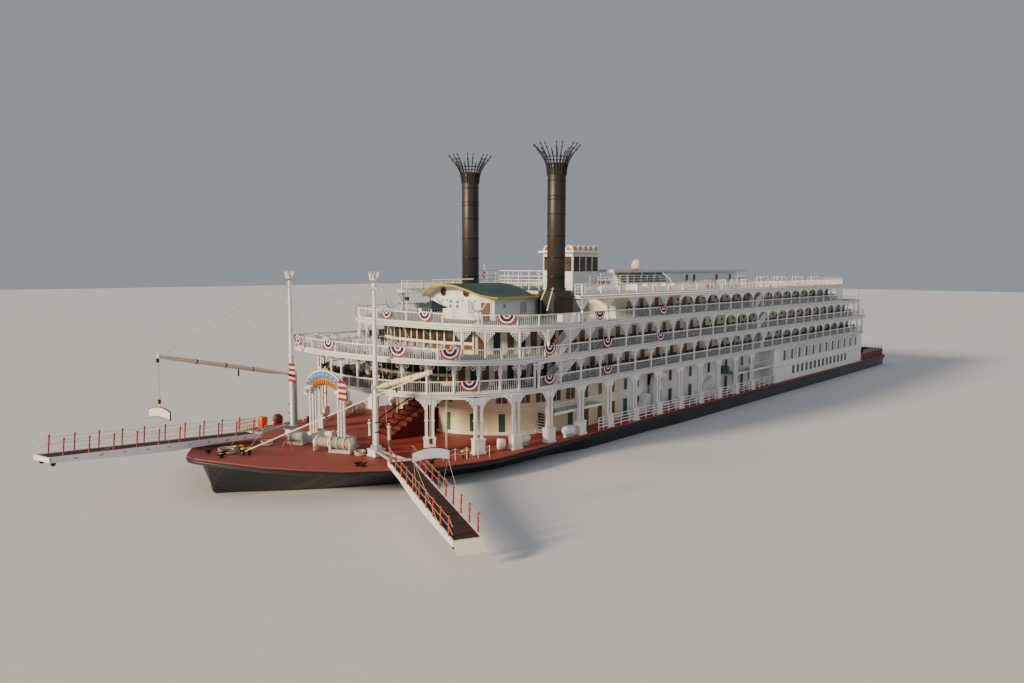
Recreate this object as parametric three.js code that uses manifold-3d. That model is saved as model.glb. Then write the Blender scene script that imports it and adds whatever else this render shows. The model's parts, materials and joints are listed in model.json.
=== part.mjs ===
import * as THREE from "three";
import { mergeVertices } from "three/addons/utils/BufferGeometryUtils.js";
import Module from "manifold-3d";

// Sternwheel paddle boat at 1:10. Millimetres: 1 mm here is 1 cm on the full-size boat.
// +X bow, +Y port, +Z up. Origin amidships on the centreline, on the flat bottom.
// Afloat, the water reaches z = 260.

const GAP = 0.3;

// decks: heights of the walking surfaces
const MAIN_Z = 430;
const SHEER_X = 4200;
const SHEER_RUN = 2200;
const SHEER_RISE = 154;
const GUARD_H = 45;
const DECK_2 = 948;
const DECK_3 = 1216;
const DECK_4 = 1499;
const DECK_5 = 1762;
const RISE_X = 4100;
const RISE_SLOPE = 0.055;
const SLAB = 32;
const RAIL_H = 105;

// sides
const HULL_AFT = -6370;
const EDGE_Y = 1318;
const POST_Y = 1296;
const POST = 16;
const BAY = 313.4;
const WALL_Y = 1090;

// paddle wheel and the notch that it turns in
const WHEEL_X = -5730;
const WHEEL_Z = 600;
const WHEEL_R = 425;
const WHEEL_W = 910;
const NOTCH_X = -5210;
const NOTCH_Y = 490;
const AXLE_R = 22;

// drives under the stern wings
const DRIVE_X = -5900;
const DRIVE_Y = 860;
const PROP_R = 78;

// bow gear
const MAST_X = 5090;
const MAST_Y = 616;
const BOOM_L = 1344;
const BOOM_UP = 12.3;
const BOOM_HEEL_Z = 1040;
const BOOM_HEEL_R = 42;
const STAGE_W = 195;
const STAGE_H = 55;
const STAGE_POSTS = 10;

// stacks
const STACK_X = 2718;
const STACK_Y = 624;
const STACK_R = 95;
const STACK_FOOT_Z = 1790;
const CROWN_Z = 3057;
const TIP_Z = 3284;
const TIP_R = 248;
const TIPS = 16;

// paints
const BLACK = 0x181a1c;
const RED_OXIDE = 0x8c3427;
const MAROON = 0x6e2a22;
const CREAM = 0xe8d9b4;
const WHITE = 0xe9e6de;
const RAIL_WHITE = 0xe4e2dc;
const CARPET = 0x5b2320;
const DECK_GREEN = 0x6f8f84;
const ROOF_GREEN = 0x2c4742;
const CANVAS = 0xd9d4c6;
const SOOT = 0x2a211c;
const STEEL = 0xd8d4cc;
const DARK_STEEL = 0x3a3d40;
const BOOM_CREAM = 0xe3dccb;
const ARCH_BLUE = 0x3f5f9a;
const WHEEL_RED = 0x9c2b22;
const BRONZE = 0x9a8350;

const wasm = await Module();
wasm.setup();

const part = new THREE.Group();
const DEG = Math.PI / 180;

function sheer(x) {
  const rise = x > SHEER_X ? SHEER_RISE * ((x - SHEER_X) / SHEER_RUN) ** 2 : 0;
  return MAIN_Z + rise;
}

// deck 3 climbs ahead of RISE_X
function rise(x) {
  return Math.max(0, x - RISE_X) * RISE_SLOPE;
}

function toSolid(geometry) {
  const bare = geometry.clone();
  bare.deleteAttribute("normal");
  bare.deleteAttribute("uv");
  const merged = mergeVertices(bare, 1e-3);
  return new wasm.Manifold(new wasm.Mesh({
    numProp: 3,
    vertProperties: Float32Array.from(merged.attributes.position.array),
    triVerts: Uint32Array.from(merged.index.array),
  }));
}

function toGeometry(solid) {
  const mesh = solid.getMesh();
  const geometry = new THREE.BufferGeometry();
  geometry.setAttribute("position", new THREE.BufferAttribute(mesh.vertProperties, 3));
  geometry.setIndex(new THREE.BufferAttribute(mesh.triVerts, 1));
  return geometry;
}

function join(list) {
  return toGeometry(list.map(toSolid).reduce((a, b) => a.add(b)));
}

function cut(geometry, list) {
  return toGeometry(list.map(toSolid).reduce((a, b) => a.subtract(b), toSolid(geometry)));
}

function add(name, geometry, colour) {
  const material = new THREE.MeshStandardMaterial({ color: colour, name });
  const mesh = new THREE.Mesh(geometry, material);
  mesh.name = name;
  part.add(mesh);
}

function box(x0, x1, y0, y1, z0, z1) {
  const geometry = new THREE.BoxGeometry(x1 - x0, y1 - y0, z1 - z0);
  return geometry.translate((x0 + x1) / 2, (y0 + y1) / 2, (z0 + z1) / 2);
}

function outline(points) {
  return new THREE.Shape(points.map(([a, b]) => new THREE.Vector2(a, b)));
}

// plan outline given for y >= 0 from the bow end aft, mirrored to both sides
function bothSides(points) {
  const back = points.filter(([, y]) => y > 0).reverse().map(([x, y]) => [x, -y]);
  return [...points, ...back];
}

function prism(points, z0, z1) {
  const options = { depth: z1 - z0, bevelEnabled: false };
  return new THREE.ExtrudeGeometry(outline(points), options).translate(0, 0, z0);
}

// outline drawn in x and z, thickened from y0 to y1
function panel(points, y0, y1, holes = []) {
  const options = { depth: y1 - y0, bevelEnabled: false };
  const geometry = new THREE.ExtrudeGeometry(outline(points), options);
  geometry.rotateX(Math.PI / 2).translate(0, y1, 0);
  return holes.length ? cut(geometry, holes.map((hole) => panel(hole, y0 - 5, y1 + 5))) : geometry;
}

// outline drawn in y and z, thickened from x0 to x1
function frameAcross(points, x0, x1) {
  const options = { depth: x1 - x0, bevelEnabled: false };
  const geometry = new THREE.ExtrudeGeometry(outline(points), options);
  return geometry.rotateX(Math.PI / 2).rotateZ(Math.PI / 2).translate(x0, 0, 0);
}

function rect(a0, a1, b0, b1) {
  return [[a0, b0], [a1, b0], [a1, b1], [a0, b1]];
}

function turned(profile, sides, x, y, z) {
  const points = profile.map(([r, h]) => new THREE.Vector2(r, h));
  const geometry = new THREE.LatheGeometry(points, sides);
  return geometry.rotateX(Math.PI / 2).translate(x, y, z);
}

function rod(r, z0, z1, x, y, sides = 12) {
  return turned([[0, z0], [r, z0], [r, z1], [0, z1]], sides, x, y, 0);
}

function rodAlongY(r, y0, y1, x, z, sides = 16) {
  const geometry = new THREE.CylinderGeometry(r, r, y1 - y0, sides);
  return geometry.translate(x, (y0 + y1) / 2, z);
}

function rodAlongX(r, x0, x1, y, z, sides = 12) {
  const geometry = new THREE.CylinderGeometry(r, r, x1 - x0, sides);
  return geometry.rotateZ(Math.PI / 2).translate((x0 + x1) / 2, y, z);
}

function mirrorY(geometry) {
  return toGeometry(toSolid(geometry).mirror([0, 1, 0]));
}

// closed skin through rings of equal point count, one ring per station along x
function loft(rings) {
  const n = rings[0].points.length;
  const positions = [];
  const index = [];
  rings.forEach(({ x, points }) => points.forEach(([y, z]) => positions.push(x, y, z)));
  for (let i = 0; i + 1 < rings.length; i += 1) {
    for (let j = 0; j < n; j += 1) {
      const a = i * n + j;
      const b = i * n + (j + 1) % n;
      index.push(a, b, a + n, b, b + n, a + n);
    }
  }
  const last = (rings.length - 1) * n;
  for (let j = 1; j + 1 < n; j += 1) {
    index.push(0, j + 1, j);
    index.push(last, last + j, last + j + 1);
  }
  const geometry = new THREE.BufferGeometry();
  geometry.setAttribute("position", new THREE.Float32BufferAttribute(positions, 3));
  geometry.setIndex(index);
  return geometry;
}

function lerpTable(table, x) {
  for (let i = 0; i + 1 < table.length; i += 1) {
    const [x0, v0] = table[i];
    const [x1, v1] = table[i + 1];
    if (x >= x0 && x <= x1) return v0 + (v1 - v0) * (x - x0) / (x1 - x0);
  }
  return x < table[0][0] ? table[0][1] : table[table.length - 1][1];
}

// Hull and main deck

// x, bottom z, half breadth at bottom, z of bilge, half breadth there, half breadth at top
const HULL_STATIONS = [
  [HULL_AFT, 205, 1150, 235, 1210, 1240],
  [-6250, 200, 1200, 230, 1270, 1290],
  [-5800, 195, 1220, 225, 1290, 1300],
  [-5050, 0, 1200, 60, 1300, 1300],
  [1300, 0, 1200, 60, 1300, 1300],
  [3000, 0, 1060, 70, 1200, 1290],
  [4200, 0, 760, 90, 960, 1235],
  [5000, 0, 400, 120, 640, 1130],
  [5500, 30, 170, 160, 380, 880],
  [5900, 110, 50, 200, 170, 520],
  [6130, 200, 16, 290, 70, 330],
  [6207, 281, 8, 330, 30, 200],
  [6250, 485, 6, 500, 20, 110],
];

const DECK_HALF = [
  [HULL_AFT, 1215], [-6290, 1290], [-6150, 1335], [4369, 1335], [4564, 1306], [4845, 1243],
  [5121, 1190], [5366, 1068], [5648, 946], [5844, 782], [6054, 580], [6225, 312],
  [6354, 105], [6383, 40],
];

const notch = (z0, z1) => box(HULL_AFT - 50, NOTCH_X, -NOTCH_Y, NOTCH_Y, z0, z1);

// both skins share their stations along x, so that their faces stay a gap apart
const HULL_FORE = HULL_STATIONS[HULL_STATIONS.length - 1][0];
const deckX = DECK_HALF.map(([x]) => x);
const hullX = HULL_STATIONS.map(([x]) => x);
const stations = [...new Set([...deckX, ...hullX])].sort((a, b) => a - b);
const column = (k) => HULL_STATIONS.map((row) => [row[0], row[k]]);

const hullSkin = loft(stations.filter((x) => x <= HULL_FORE).map((x) => {
  const top = sheer(x) - GUARD_H - GAP;
  const [zb, hb, zc, hc, ht] = [1, 2, 3, 4, 5].map((k) => lerpTable(column(k), x));
  return { x, points: [[-ht, top], [-hc, zc], [-hb, zb], [hb, zb], [hc, zc], [ht, top]] };
}));
add("hull", cut(hullSkin, [notch(-10, 700)]), BLACK);

const deckPlate = loft(stations.map((x) => {
  const half = lerpTable(DECK_HALF, x);
  const top = sheer(x);
  const low = top - GUARD_H;
  return { x, points: [[-half, top], [-half, low], [half, low], [half, top]] };
}));

const bearing = (side) => {
  const block = box(WHEEL_X - 60, WHEEL_X + 60, 500, 560, MAIN_Z - 20, WHEEL_Z + 50);
  const bored = cut(block, [rodAlongY(AXLE_R + 3, 480, 580, WHEEL_X, WHEEL_Z, 16)]);
  return side > 0 ? bored : mirrorY(bored);
};

// height of the flat facets of the deck under something that reaches from x - half to x + half
const facets = stations.map((x) => [x, sheer(x)]);
const standOn = (x, half) => lerpTable(facets, x + half) + GAP;

// bitts: x, y, size
const BITTS = [[5950, 60, 14], [4560, 1130, 12]];
const bitts = BITTS.flatMap(([x, y, r]) => [1, -1].flatMap((side) => [
  rod(r, sheer(x) - 20, sheer(x) + 60, x - 26, side * y, 6),
  rod(r, sheer(x) - 20, sheer(x) + 60, x + 26, side * y, 6),
]));
add("main_deck", join([cut(deckPlate, [notch(0, 900)]), bearing(1), bearing(-1), ...bitts]), RED_OXIDE);

// Stern bulwarks on the wings

const bulwark = [
  [-5120, 1290], [-6150, 1290], [-6270, 1262], [-6345, 1190], [-6345, 560],
  [-6333, 560], [-6333, 1184], [-6263, 1250], [-6148, 1278], [-5120, 1278],
];
add("bulwark_port", prism(bulwark, MAIN_Z + GAP, MAIN_Z + 110), MAROON);
add("bulwark_starboard", mirrorY(prism(bulwark, MAIN_Z + GAP, MAIN_Z + 110)), MAROON);

// Houses on the main deck

const HOUSE_FRONT = [
  [3990, 0], [3990, 170], [3930, 420], [3800, 660], [3600, 860], [3300, 1010], [2950, WALL_Y],
];
const stairWell = box(3560, 4400, -190, 190, MAIN_Z - 20, DECK_2);
const frontHouse = prism(bothSides([...HOUSE_FRONT, [-1290, WALL_Y]]), MAIN_Z + GAP, DECK_2 - SLAB - GAP);
add("main_house", cut(frontHouse, [stairWell]), CREAM);

const BAYS = 9;
const sternPlan = bothSides([[-1290 - GAP, 1292], [-4940, 1292]]);
const sternHouse = prism(sternPlan, MAIN_Z + GAP, DECK_2 - SLAB - GAP);
const windowBays = Array.from({ length: BAYS }, (_, i) => {
  const x = -2400 - 270 * i;
  const tops = rect(x - 75, x + 75, -1315, 1315);
  return prism(tops, DECK_2 - 230, DECK_2 - 60);
});
add("stern_house", join([sternHouse, ...windowBays]), WHITE);

// Grand stair

const STEPS = 14;
const STAIR_FOOT_X = 4560;
const STAIR_HEAD_X = 3600;
const stairRise = (DECK_2 - SLAB - GAP - MAIN_Z - GAP) / STEPS;
const stairRun = (STAIR_FOOT_X - STAIR_HEAD_X) / STEPS;
const stairFoot = standOn(STAIR_FOOT_X, 0);
const stairLine = [[STAIR_FOOT_X, stairFoot]];
for (let i = 0; i < STEPS; i += 1) {
  const z = MAIN_Z + GAP + stairRise * (i + 1);
  stairLine.push([STAIR_FOOT_X - stairRun * i, z], [STAIR_FOOT_X - stairRun * (i + 1), z]);
}
stairLine.push([STAIR_HEAD_X, MAIN_Z + 200], [STAIR_FOOT_X - 500, stairFoot]);
add("grand_stair", panel(stairLine, -150, 150), CARPET);

// Deck slabs

const FRONT_2 = [
  [4915, 0], [4910, 120], [4870, 330], [4800, 600], [4690, 800], [4520, 960], [4340, 1080],
  [4160, 1170], [4000, 1250], [3800, 1295], [3500, EDGE_Y],
];
const FRONT_3 = [
  [5055, 0], [5045, 240], [5005, 430], [4980, 600], [4930, 760], [4860, 900], [4775, 1030],
  [4710, 1095], [4630, 1145], [4450, 1195], [4200, 1235], [RISE_X, 1250], [3960, 1272],
  [3720, 1300], [3480, EDGE_Y],
];
const FRONT_4 = [
  [4245, 0], [4240, 240], [4212, 480], [4175, 700], [4110, 890], [4035, 1030], [3930, 1160],
  [3840, 1215], [3730, 1255], [3480, 1295], [3200, EDGE_Y],
];
const FRONT_5 = [
  [2450, 0], [2450, 850], [2880, 1043], [3080, 1150], [3190, 1250], [3220, EDGE_Y],
];
// name, front, aft x, top z
const SLABS = [
  ["deck_2", FRONT_2, -4940, DECK_2],
  ["deck_4", FRONT_4, -4710, DECK_4],
  ["deck_5", FRONT_5, -3870, DECK_5],
];
SLABS.forEach(([name, front, aft, z]) => {
  add(name, prism(bothSides([...front, [aft, EDGE_Y]]), z - SLAB, z), DECK_GREEN);
});
const slab3 = [[-5000, EDGE_Y], ...FRONT_3.slice(1).reverse()].map(([x, y]) => {
  const top = DECK_3 + rise(x);
  return { x, points: [[-y, top], [-y, top - SLAB], [y, top - SLAB], [y, top]] };
});
add("deck_3", loft(slab3), DECK_GREEN);

// Columns of the main deck

// x, y of each pair of columns from the bow aft, then the pitch takes over
const COLUMN_PITCH = 470;
const COLUMNS = [[4660, 800], [4390, 1120], [4030, 1225], [3620, 1275]];
for (let i = 1; i <= 9; i += 1) COLUMNS.push([3620 - COLUMN_PITCH * i, 1280]);
const BEAM_Z = DECK_2 - SLAB - GAP;

function columnPair([x, y], i) {
  const base = standOn(x, 62);
  const angle = i < 3 ? [-0.7, -0.4, -0.15][i] : 0;
  const parts = [
    box(-50, 50, -34, 34, base, base + 130),
    box(-39, -15, -11, 11, base + 129, BEAM_Z),
    box(15, 39, -11, 11, base + 129, BEAM_Z),
    box(-60, 60, -14, 14, BEAM_Z - 60, BEAM_Z),
  ];
  return parts.map((p) => p.rotateZ(angle).translate(x, y, 0));
}

function bar(from, to, z0, z1, half) {
  const dx = to[0] - from[0];
  const dy = to[1] - from[1];
  const length = Math.hypot(dx, dy);
  const piece = box(0, length, -half, half, z0, z1);
  return piece.rotateZ(Math.atan2(dy, dx)).translate(from[0], from[1], 0);
}

const colonnadeParts = COLUMNS.flatMap(columnPair);
for (let i = 0; i + 1 < COLUMNS.length; i += 1) {
  colonnadeParts.push(bar(COLUMNS[i], COLUMNS[i + 1], BEAM_Z - 14, BEAM_Z, 9));
}
const mainColumns = join(colonnadeParts);
add("main_columns_port", mainColumns, WHITE);
add("main_columns_starboard", mirrorY(mainColumns), WHITE);

// Side galleries: posts, rails and the heads between posts

function headOpening(x0, x1, z0, z1, kind) {
  if (kind === "arch") {
    const r = (x1 - x0) / 2;
    const cx = (x0 + x1) / 2;
    const rise = Math.min(r, 100);
    const points = [[x0, z0], [x1, z0], [x1, z1 - rise]];
    [45, 90, 135].forEach((a) => {
      points.push([cx + r * Math.cos(a * DEG), z1 - rise + rise * Math.sin(a * DEG)]);
    });
    points.push([x0, z1 - rise]);
    return points;
  }
  return rect(x0, x1, z0, z1);
}

function gallery(lead, first, aft, zLow, zHigh, kind) {
  const posts = [...lead];
  for (let x = first; x > aft + 120; x -= BAY) posts.push(x);
  posts.push(aft);
  const holes = [];
  for (let i = 0; i + 1 < posts.length; i += 1) {
    const x1 = posts[i] - POST / 2;
    const x0 = posts[i + 1] + POST / 2;
    holes.push(rect(x0, x1, zLow + 14, zLow + RAIL_H - 10));
    holes.push(headOpening(x0, x1, zLow + RAIL_H, zHigh - 10, kind));
  }
  const shape = rect(posts[posts.length - 1] - POST / 2, posts[0] + POST / 2, zLow, zHigh);
  return panel(shape, POST_Y - POST / 2, POST_Y + POST / 2, holes);
}

// name, leading posts, first post of the even pitch, last post, floor, ceiling, head
const GALLERIES = [
  ["gallery_2", [], 3800, -4925, DECK_2, DECK_3, "square"],
  ["gallery_3", [], 3663.8, -4695, DECK_3, DECK_4, "square"],
  ["gallery_4", [3160, 2730], 2274, -3858, DECK_4, DECK_5, "arch"],
];
GALLERIES.forEach(([name, lead, first, aft, low, high, kind]) => {
  const side = gallery(lead, first, aft, low + GAP, high - SLAB - GAP, kind);
  add(`${name}_port`, side, RAIL_WHITE);
  add(`${name}_starboard`, mirrorY(side), RAIL_WHITE);
});

// Front galleries, curved with the decks

function inset(points, d) {
  return points.map(([x, y], i) => {
    const a = points[Math.max(i - 1, 0)];
    const b = points[Math.min(i + 1, points.length - 1)];
    const tx = b[0] - a[0];
    const ty = b[1] - a[1];
    const l = Math.hypot(tx, ty);
    return y === 0 ? [x - d, 0] : [x - d * ty / l, y + d * tx / l];
  });
}

function curvedBand(line, near, far, z0, z1) {
  const outer = inset(line, near);
  const inner = inset(line, far);
  const loop = [...outer, ...[...inner].reverse()];
  const half = prism(loop.map(([x, y]) => [x, Math.max(y, 0)]), z0, z1);
  return [half, mirrorY(half)];
}

function frontBands(line, zLow) {
  return [
    ...curvedBand(line, 16, 25, zLow, zLow + 14),
    ...curvedBand(line, 16, 25, zLow + RAIL_H - 10, zLow + RAIL_H),
  ];
}

// posts at both sides, from a floor to a height, both given as functions of x
function frontPosts(spots, half, floorAt, topAt) {
  return spots.flatMap(([x, y]) => (y === 0 ? [1] : [1, -1]).map((side) => {
    const mid = side * y;
    return box(x - half, x + half, mid - half, mid + half, floorAt(x + half), topAt(x - half));
  }));
}

// moves the corners of a piece up with deck 3
function raised(geometry) {
  const position = geometry.getAttribute("position");
  for (let i = 0; i < position.count; i += 1) {
    position.setZ(i, position.getZ(i) + rise(position.getX(i)));
  }
  return geometry;
}

const LINE_2 = [...FRONT_2.slice(0, 9), [3828, 1288]];
const LINE_3 = [...FRONT_3.slice(0, 13), [3692, 1303]];
const LINE_4 = [...FRONT_4.slice(0, 10), [3188, 1304]];
const everySecond = (line) => inset(line, 20).filter((_, i) => i % 2 === 0);
const FLOOR_2 = DECK_2 + GAP;
const FLOOR_3 = DECK_3 + GAP;
const FLOOR_4 = DECK_4 + GAP;
const CEILING_2 = DECK_3 - SLAB - GAP;
const CEILING_3 = DECK_4 - SLAB - GAP;

add("front_gallery_2", join([
  ...frontBands(LINE_2, FLOOR_2),
  ...frontPosts(inset(LINE_2, 20).slice(0, 1), 6, () => FLOOR_2, () => FLOOR_2 + RAIL_H - 4),
  ...frontPosts(inset(LINE_2, 20).slice(1), POST / 2, () => FLOOR_2, (x) => CEILING_2 + rise(x)),
]), RAIL_WHITE);
const shortPosts3 = frontPosts(everySecond(LINE_3), 6, () => FLOOR_3 + 5, () => FLOOR_3 + RAIL_H - 5);
add("front_gallery_3", join([
  ...frontBands(LINE_3, FLOOR_3).map(raised),
  ...shortPosts3.map(raised),
]), RAIL_WHITE);
add("front_gallery_4", join([
  ...frontBands(LINE_4, FLOOR_4),
  ...frontPosts(everySecond(LINE_4), 6, () => FLOOR_4, () => FLOOR_4 + RAIL_H - 4),
]), RAIL_WHITE);

// beam under the front of deck 4 and the posts that carry it
const POSTS_3 = [[4155, 690], [4075, 905], [3900, 1160], [3640, 1240]];
const LINE_BEAM = [...FRONT_4.slice(0, 9), [3620, 1272]];
add("front_posts_3", join([
  ...curvedBand(LINE_BEAM, 10, 60, CEILING_3 - 14, CEILING_3),
  ...frontPosts(POSTS_3, POST / 2, (x) => FLOOR_3 + rise(x), () => CEILING_3 - 4),
]), RAIL_WHITE);

// Rails of the sun deck

function openRail(x1, x0, z) {
  const holes = [];
  const count = Math.round((x1 - x0) / BAY);
  const pitch = (x1 - x0) / count;
  for (let i = 0; i < count; i += 1) {
    holes.push(rect(x0 + pitch * i + 6, x0 + pitch * (i + 1) - 6, z, z + RAIL_H - 10));
  }
  const line = rect(x0 - 2, x1 + 2, z, z + RAIL_H);
  const lifted = holes.map((h) => h.map(([x, v]) => [x, Math.max(v, z + 10)]));
  return panel(line, POST_Y - 6, POST_Y + 6, lifted);
}
const sunRail = openRail(3170, -3850, DECK_5 + GAP);
add("sun_rail_port", sunRail, RAIL_WHITE);
add("sun_rail_starboard", mirrorY(sunRail), RAIL_WHITE);

// Houses on decks 2 to 4

const HOUSE_2 = [[4400, 0], [4360, 360], [4200, 650], [3950, 860], [3600, 1010], [3250, WALL_Y]];
const HOUSE_3 = [[4080, 0], [4060, 360], [3960, 640], [3760, 850], [3450, 1010], [3150, WALL_Y]];
const HOUSE_4 = [[2400, 0], [2400, 850], [2300, WALL_Y]];
// name, front, aft x, floor, ceiling
const HOUSES = [
  ["house_2", HOUSE_2, -4850, DECK_2, DECK_3],
  ["house_3", HOUSE_3, -4650, DECK_3, DECK_4],
  ["house_4", HOUSE_4, -3800, DECK_4, DECK_5],
];
HOUSES.forEach(([name, front, aft, low, high]) => {
  const plan = bothSides([...front, [aft, WALL_Y]]);
  add(name, prism(plan, low + GAP, high - SLAB - GAP), CREAM);
});

// Texas house and its ogee roof

const TEXAS_TOP = 1708;
const TEXAS_WALL = [[3590, 0], [3560, 300], [3480, 460], [2440, 460]];
add("texas_house", prism(bothSides(TEXAS_WALL), DECK_4 + GAP, TEXAS_TOP - GAP), WHITE);

const ROOF_SECTION = [[0, 1855], [150, 1845], [280, 1810], [400, 1762], [490, 1735], [540, 1730]];
const roofSkin = [...ROOF_SECTION, [540, TEXAS_TOP], [-540, TEXAS_TOP]];
const roofLoop = roofSkin.concat(ROOF_SECTION.slice(1).reverse().map(([y, z]) => [-y, z]));
const roofBlock = frameAcross(roofLoop, 2452, 3745);
const ROOF_PLAN = [[3742, 0], [3715, 250], [3640, 420], [3520, 538], [2452, 538]];
const roofPlan = prism(bothSides(ROOF_PLAN), TEXAS_TOP - 8, 1900);
const ogee = toGeometry(toSolid(roofBlock).intersect(toSolid(roofPlan)));
add("texas_roof", ogee, ROOF_GREEN);

// Deck hut

const HUT_X = 4118;
const HUT_Y = 250;
const HUT_HALF = 72;
const HUT_H = 143;
const hutPlan = rect(HUT_X - HUT_HALF, HUT_X + HUT_HALF, HUT_Y - HUT_HALF, HUT_Y + HUT_HALF);
const hutWalls = prism(hutPlan, DECK_4 + GAP, DECK_4 + HUT_H);
const hutRoof = turned([[0, 0], [144, 0], [144, 8], [60, 42], [14, 70], [0, 72]], 4, 0, 0, 0);
hutRoof.rotateZ(Math.PI / 4).translate(HUT_X, HUT_Y, DECK_4 + HUT_H - 2);
add("deck_hut", join([hutWalls, hutRoof]), WHITE);

// Pilothouse

const PILOT = { x0: 1390, x1: 1900, y: 220, z0: DECK_5 + GAP, z1: 2200, wall: 12 };
const PANES = 4;
const PANE_LOW = PILOT.z0 + 215;
const PANE_HIGH = PILOT.z1 - 50;
const pilotShell = box(PILOT.x0, PILOT.x1, -PILOT.y, PILOT.y, PILOT.z0, PILOT.z1);
const inner = PILOT.y - PILOT.wall;
const pilotCuts = [
  box(PILOT.x0 + PILOT.wall, PILOT.x1 - PILOT.wall, -inner, inner, PANE_LOW - 25, PANE_HIGH + 30),
];
for (let i = 0; i < PANES; i += 1) {
  const wide = (PILOT.x1 - PILOT.x0 - 20) / PANES;
  const x = PILOT.x0 + 10 + wide * i;
  pilotCuts.push(box(x + 6, x + wide - 6, -PILOT.y - 5, PILOT.y + 5, PANE_LOW, PANE_HIGH));
  const deep = (2 * PILOT.y - 20) / PANES;
  const y = -PILOT.y + 10 + deep * i;
  pilotCuts.push(box(PILOT.x0 - 5, PILOT.x1 + 5, y + 6, y + deep - 6, PANE_LOW, PANE_HIGH));
}
const eaves = PILOT.y + 40;
const pilotRoof = box(PILOT.x0 - 40, PILOT.x1 + 40, -eaves, eaves, PILOT.z1 - 4, PILOT.z1 + 20);

// row of round scallops on the edge of the roof
const CREST_LOW = 20;
const CREST_HIGH = 55;
function scallops(count, wide) {
  const line = [[-count * wide / 2, 0], [count * wide / 2, 0]];
  for (let i = count - 1; i >= 0; i -= 1) {
    const mid = (i - (count - 1) / 2) * wide;
    [0, 30, 60, 90, 120, 150].forEach((a) => {
      line.push([mid + wide / 2 * Math.cos(a * DEG), CREST_LOW + CREST_HIGH * Math.sin(a * DEG)]);
    });
  }
  line.push([-count * wide / 2, CREST_LOW]);
  return line;
}
const crestFront = frameAcross(scallops(4, 110), 1890, 1900).translate(0, 0, PILOT.z1 + 10);
const crestPort = panel(scallops(5, 102), 200, 210).translate(1645, 0, PILOT.z1 + 10);
const crests = [crestFront, crestPort, mirrorY(crestPort)];
add("pilothouse", join([cut(pilotShell, pilotCuts), pilotRoof, ...crests]), WHITE);

// House and canopy on the sun deck

const CANOPY_Z = 1966;
const CANOPY_TOP = 2002;
add("sun_house", box(-1880, 126, -400, 400, DECK_5 + GAP, CANOPY_Z - GAP), WHITE);
const domeBase = rod(30, CANOPY_TOP - 6, CANOPY_TOP + 24, 600, 250, 12);
const domeSkin = [[0, 0], [64, 0], [66, 40], [56, 84], [34, 112], [0, 122]];
const dome = turned(domeSkin, 12, 600, 250, CANOPY_TOP + 9);
const canopy = box(-2200, 1375, -430, 430, CANOPY_Z, CANOPY_TOP);
add("sun_canopy", join([canopy, domeBase, dome]), CANVAS);

// Stack foot, stacks

const casing = (y) => box(2560, 2880, y - 105, y + 105, DECK_4 + GAP, 1700);
const FOOT = [[0, 1690], [82, 1690], [82, STACK_FOOT_Z - GAP], [0, STACK_FOOT_Z - GAP]];
const stackFoot = (y) => turned(FOOT, 20, STACK_X, y, 0);
[["port", 1], ["starboard", -1]].forEach(([side, s]) => {
  add(`stack_base_${side}`, join([casing(s * STACK_Y), stackFoot(s * STACK_Y)]), SOOT);
});

// radius, height
const STACK_PROFILE = [
  [0, STACK_FOOT_Z], [104, STACK_FOOT_Z], [104, STACK_FOOT_Z + 24], [STACK_R, STACK_FOOT_Z + 24],
  [STACK_R, 2960], [112, CROWN_Z], [150, CROWN_Z + 85],
  [138, CROWN_Z + 85], [96, CROWN_Z - 20], [80, 2960], [0, 2960],
];
function stackSolid() {
  const parts = [turned(STACK_PROFILE, 16, 0, 0, 0)];
  for (let i = 0; i < TIPS; i += 1) {
    const spike = panel([[124, CROWN_Z + 55], [140, CROWN_Z + 55], [190, CROWN_Z + 120],
      [TIP_R, TIP_Z], [TIP_R - 8, TIP_Z], [172, CROWN_Z + 120]], -7, 7);
    parts.push(spike.rotateZ(2 * Math.PI * i / TIPS));
  }
  return join(parts);
}
add("stack_port", stackSolid().translate(STACK_X, STACK_Y, 0), SOOT);
add("stack_starboard", stackSolid().translate(STACK_X, -STACK_Y, 0), SOOT);

// Masts, swivels, booms and stages

const MAST_FOOT_Z = standOn(MAST_X, 72);
const mastProfile = [
  [0, 0], [22, 0], [20, 700], [12, 1352], [22, 1360], [22, 1370], [12, 1378], [12, 1398],
  [28, 1408], [32, 1423], [0, 1423],
];
const mastSolid = () => join([
  box(-50, 50, -50, 50, 0, 60),
  turned(mastProfile, 12, 0, 0, 50),
]);

const SWIVEL_LOW = MAST_FOOT_Z + 62;

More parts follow.
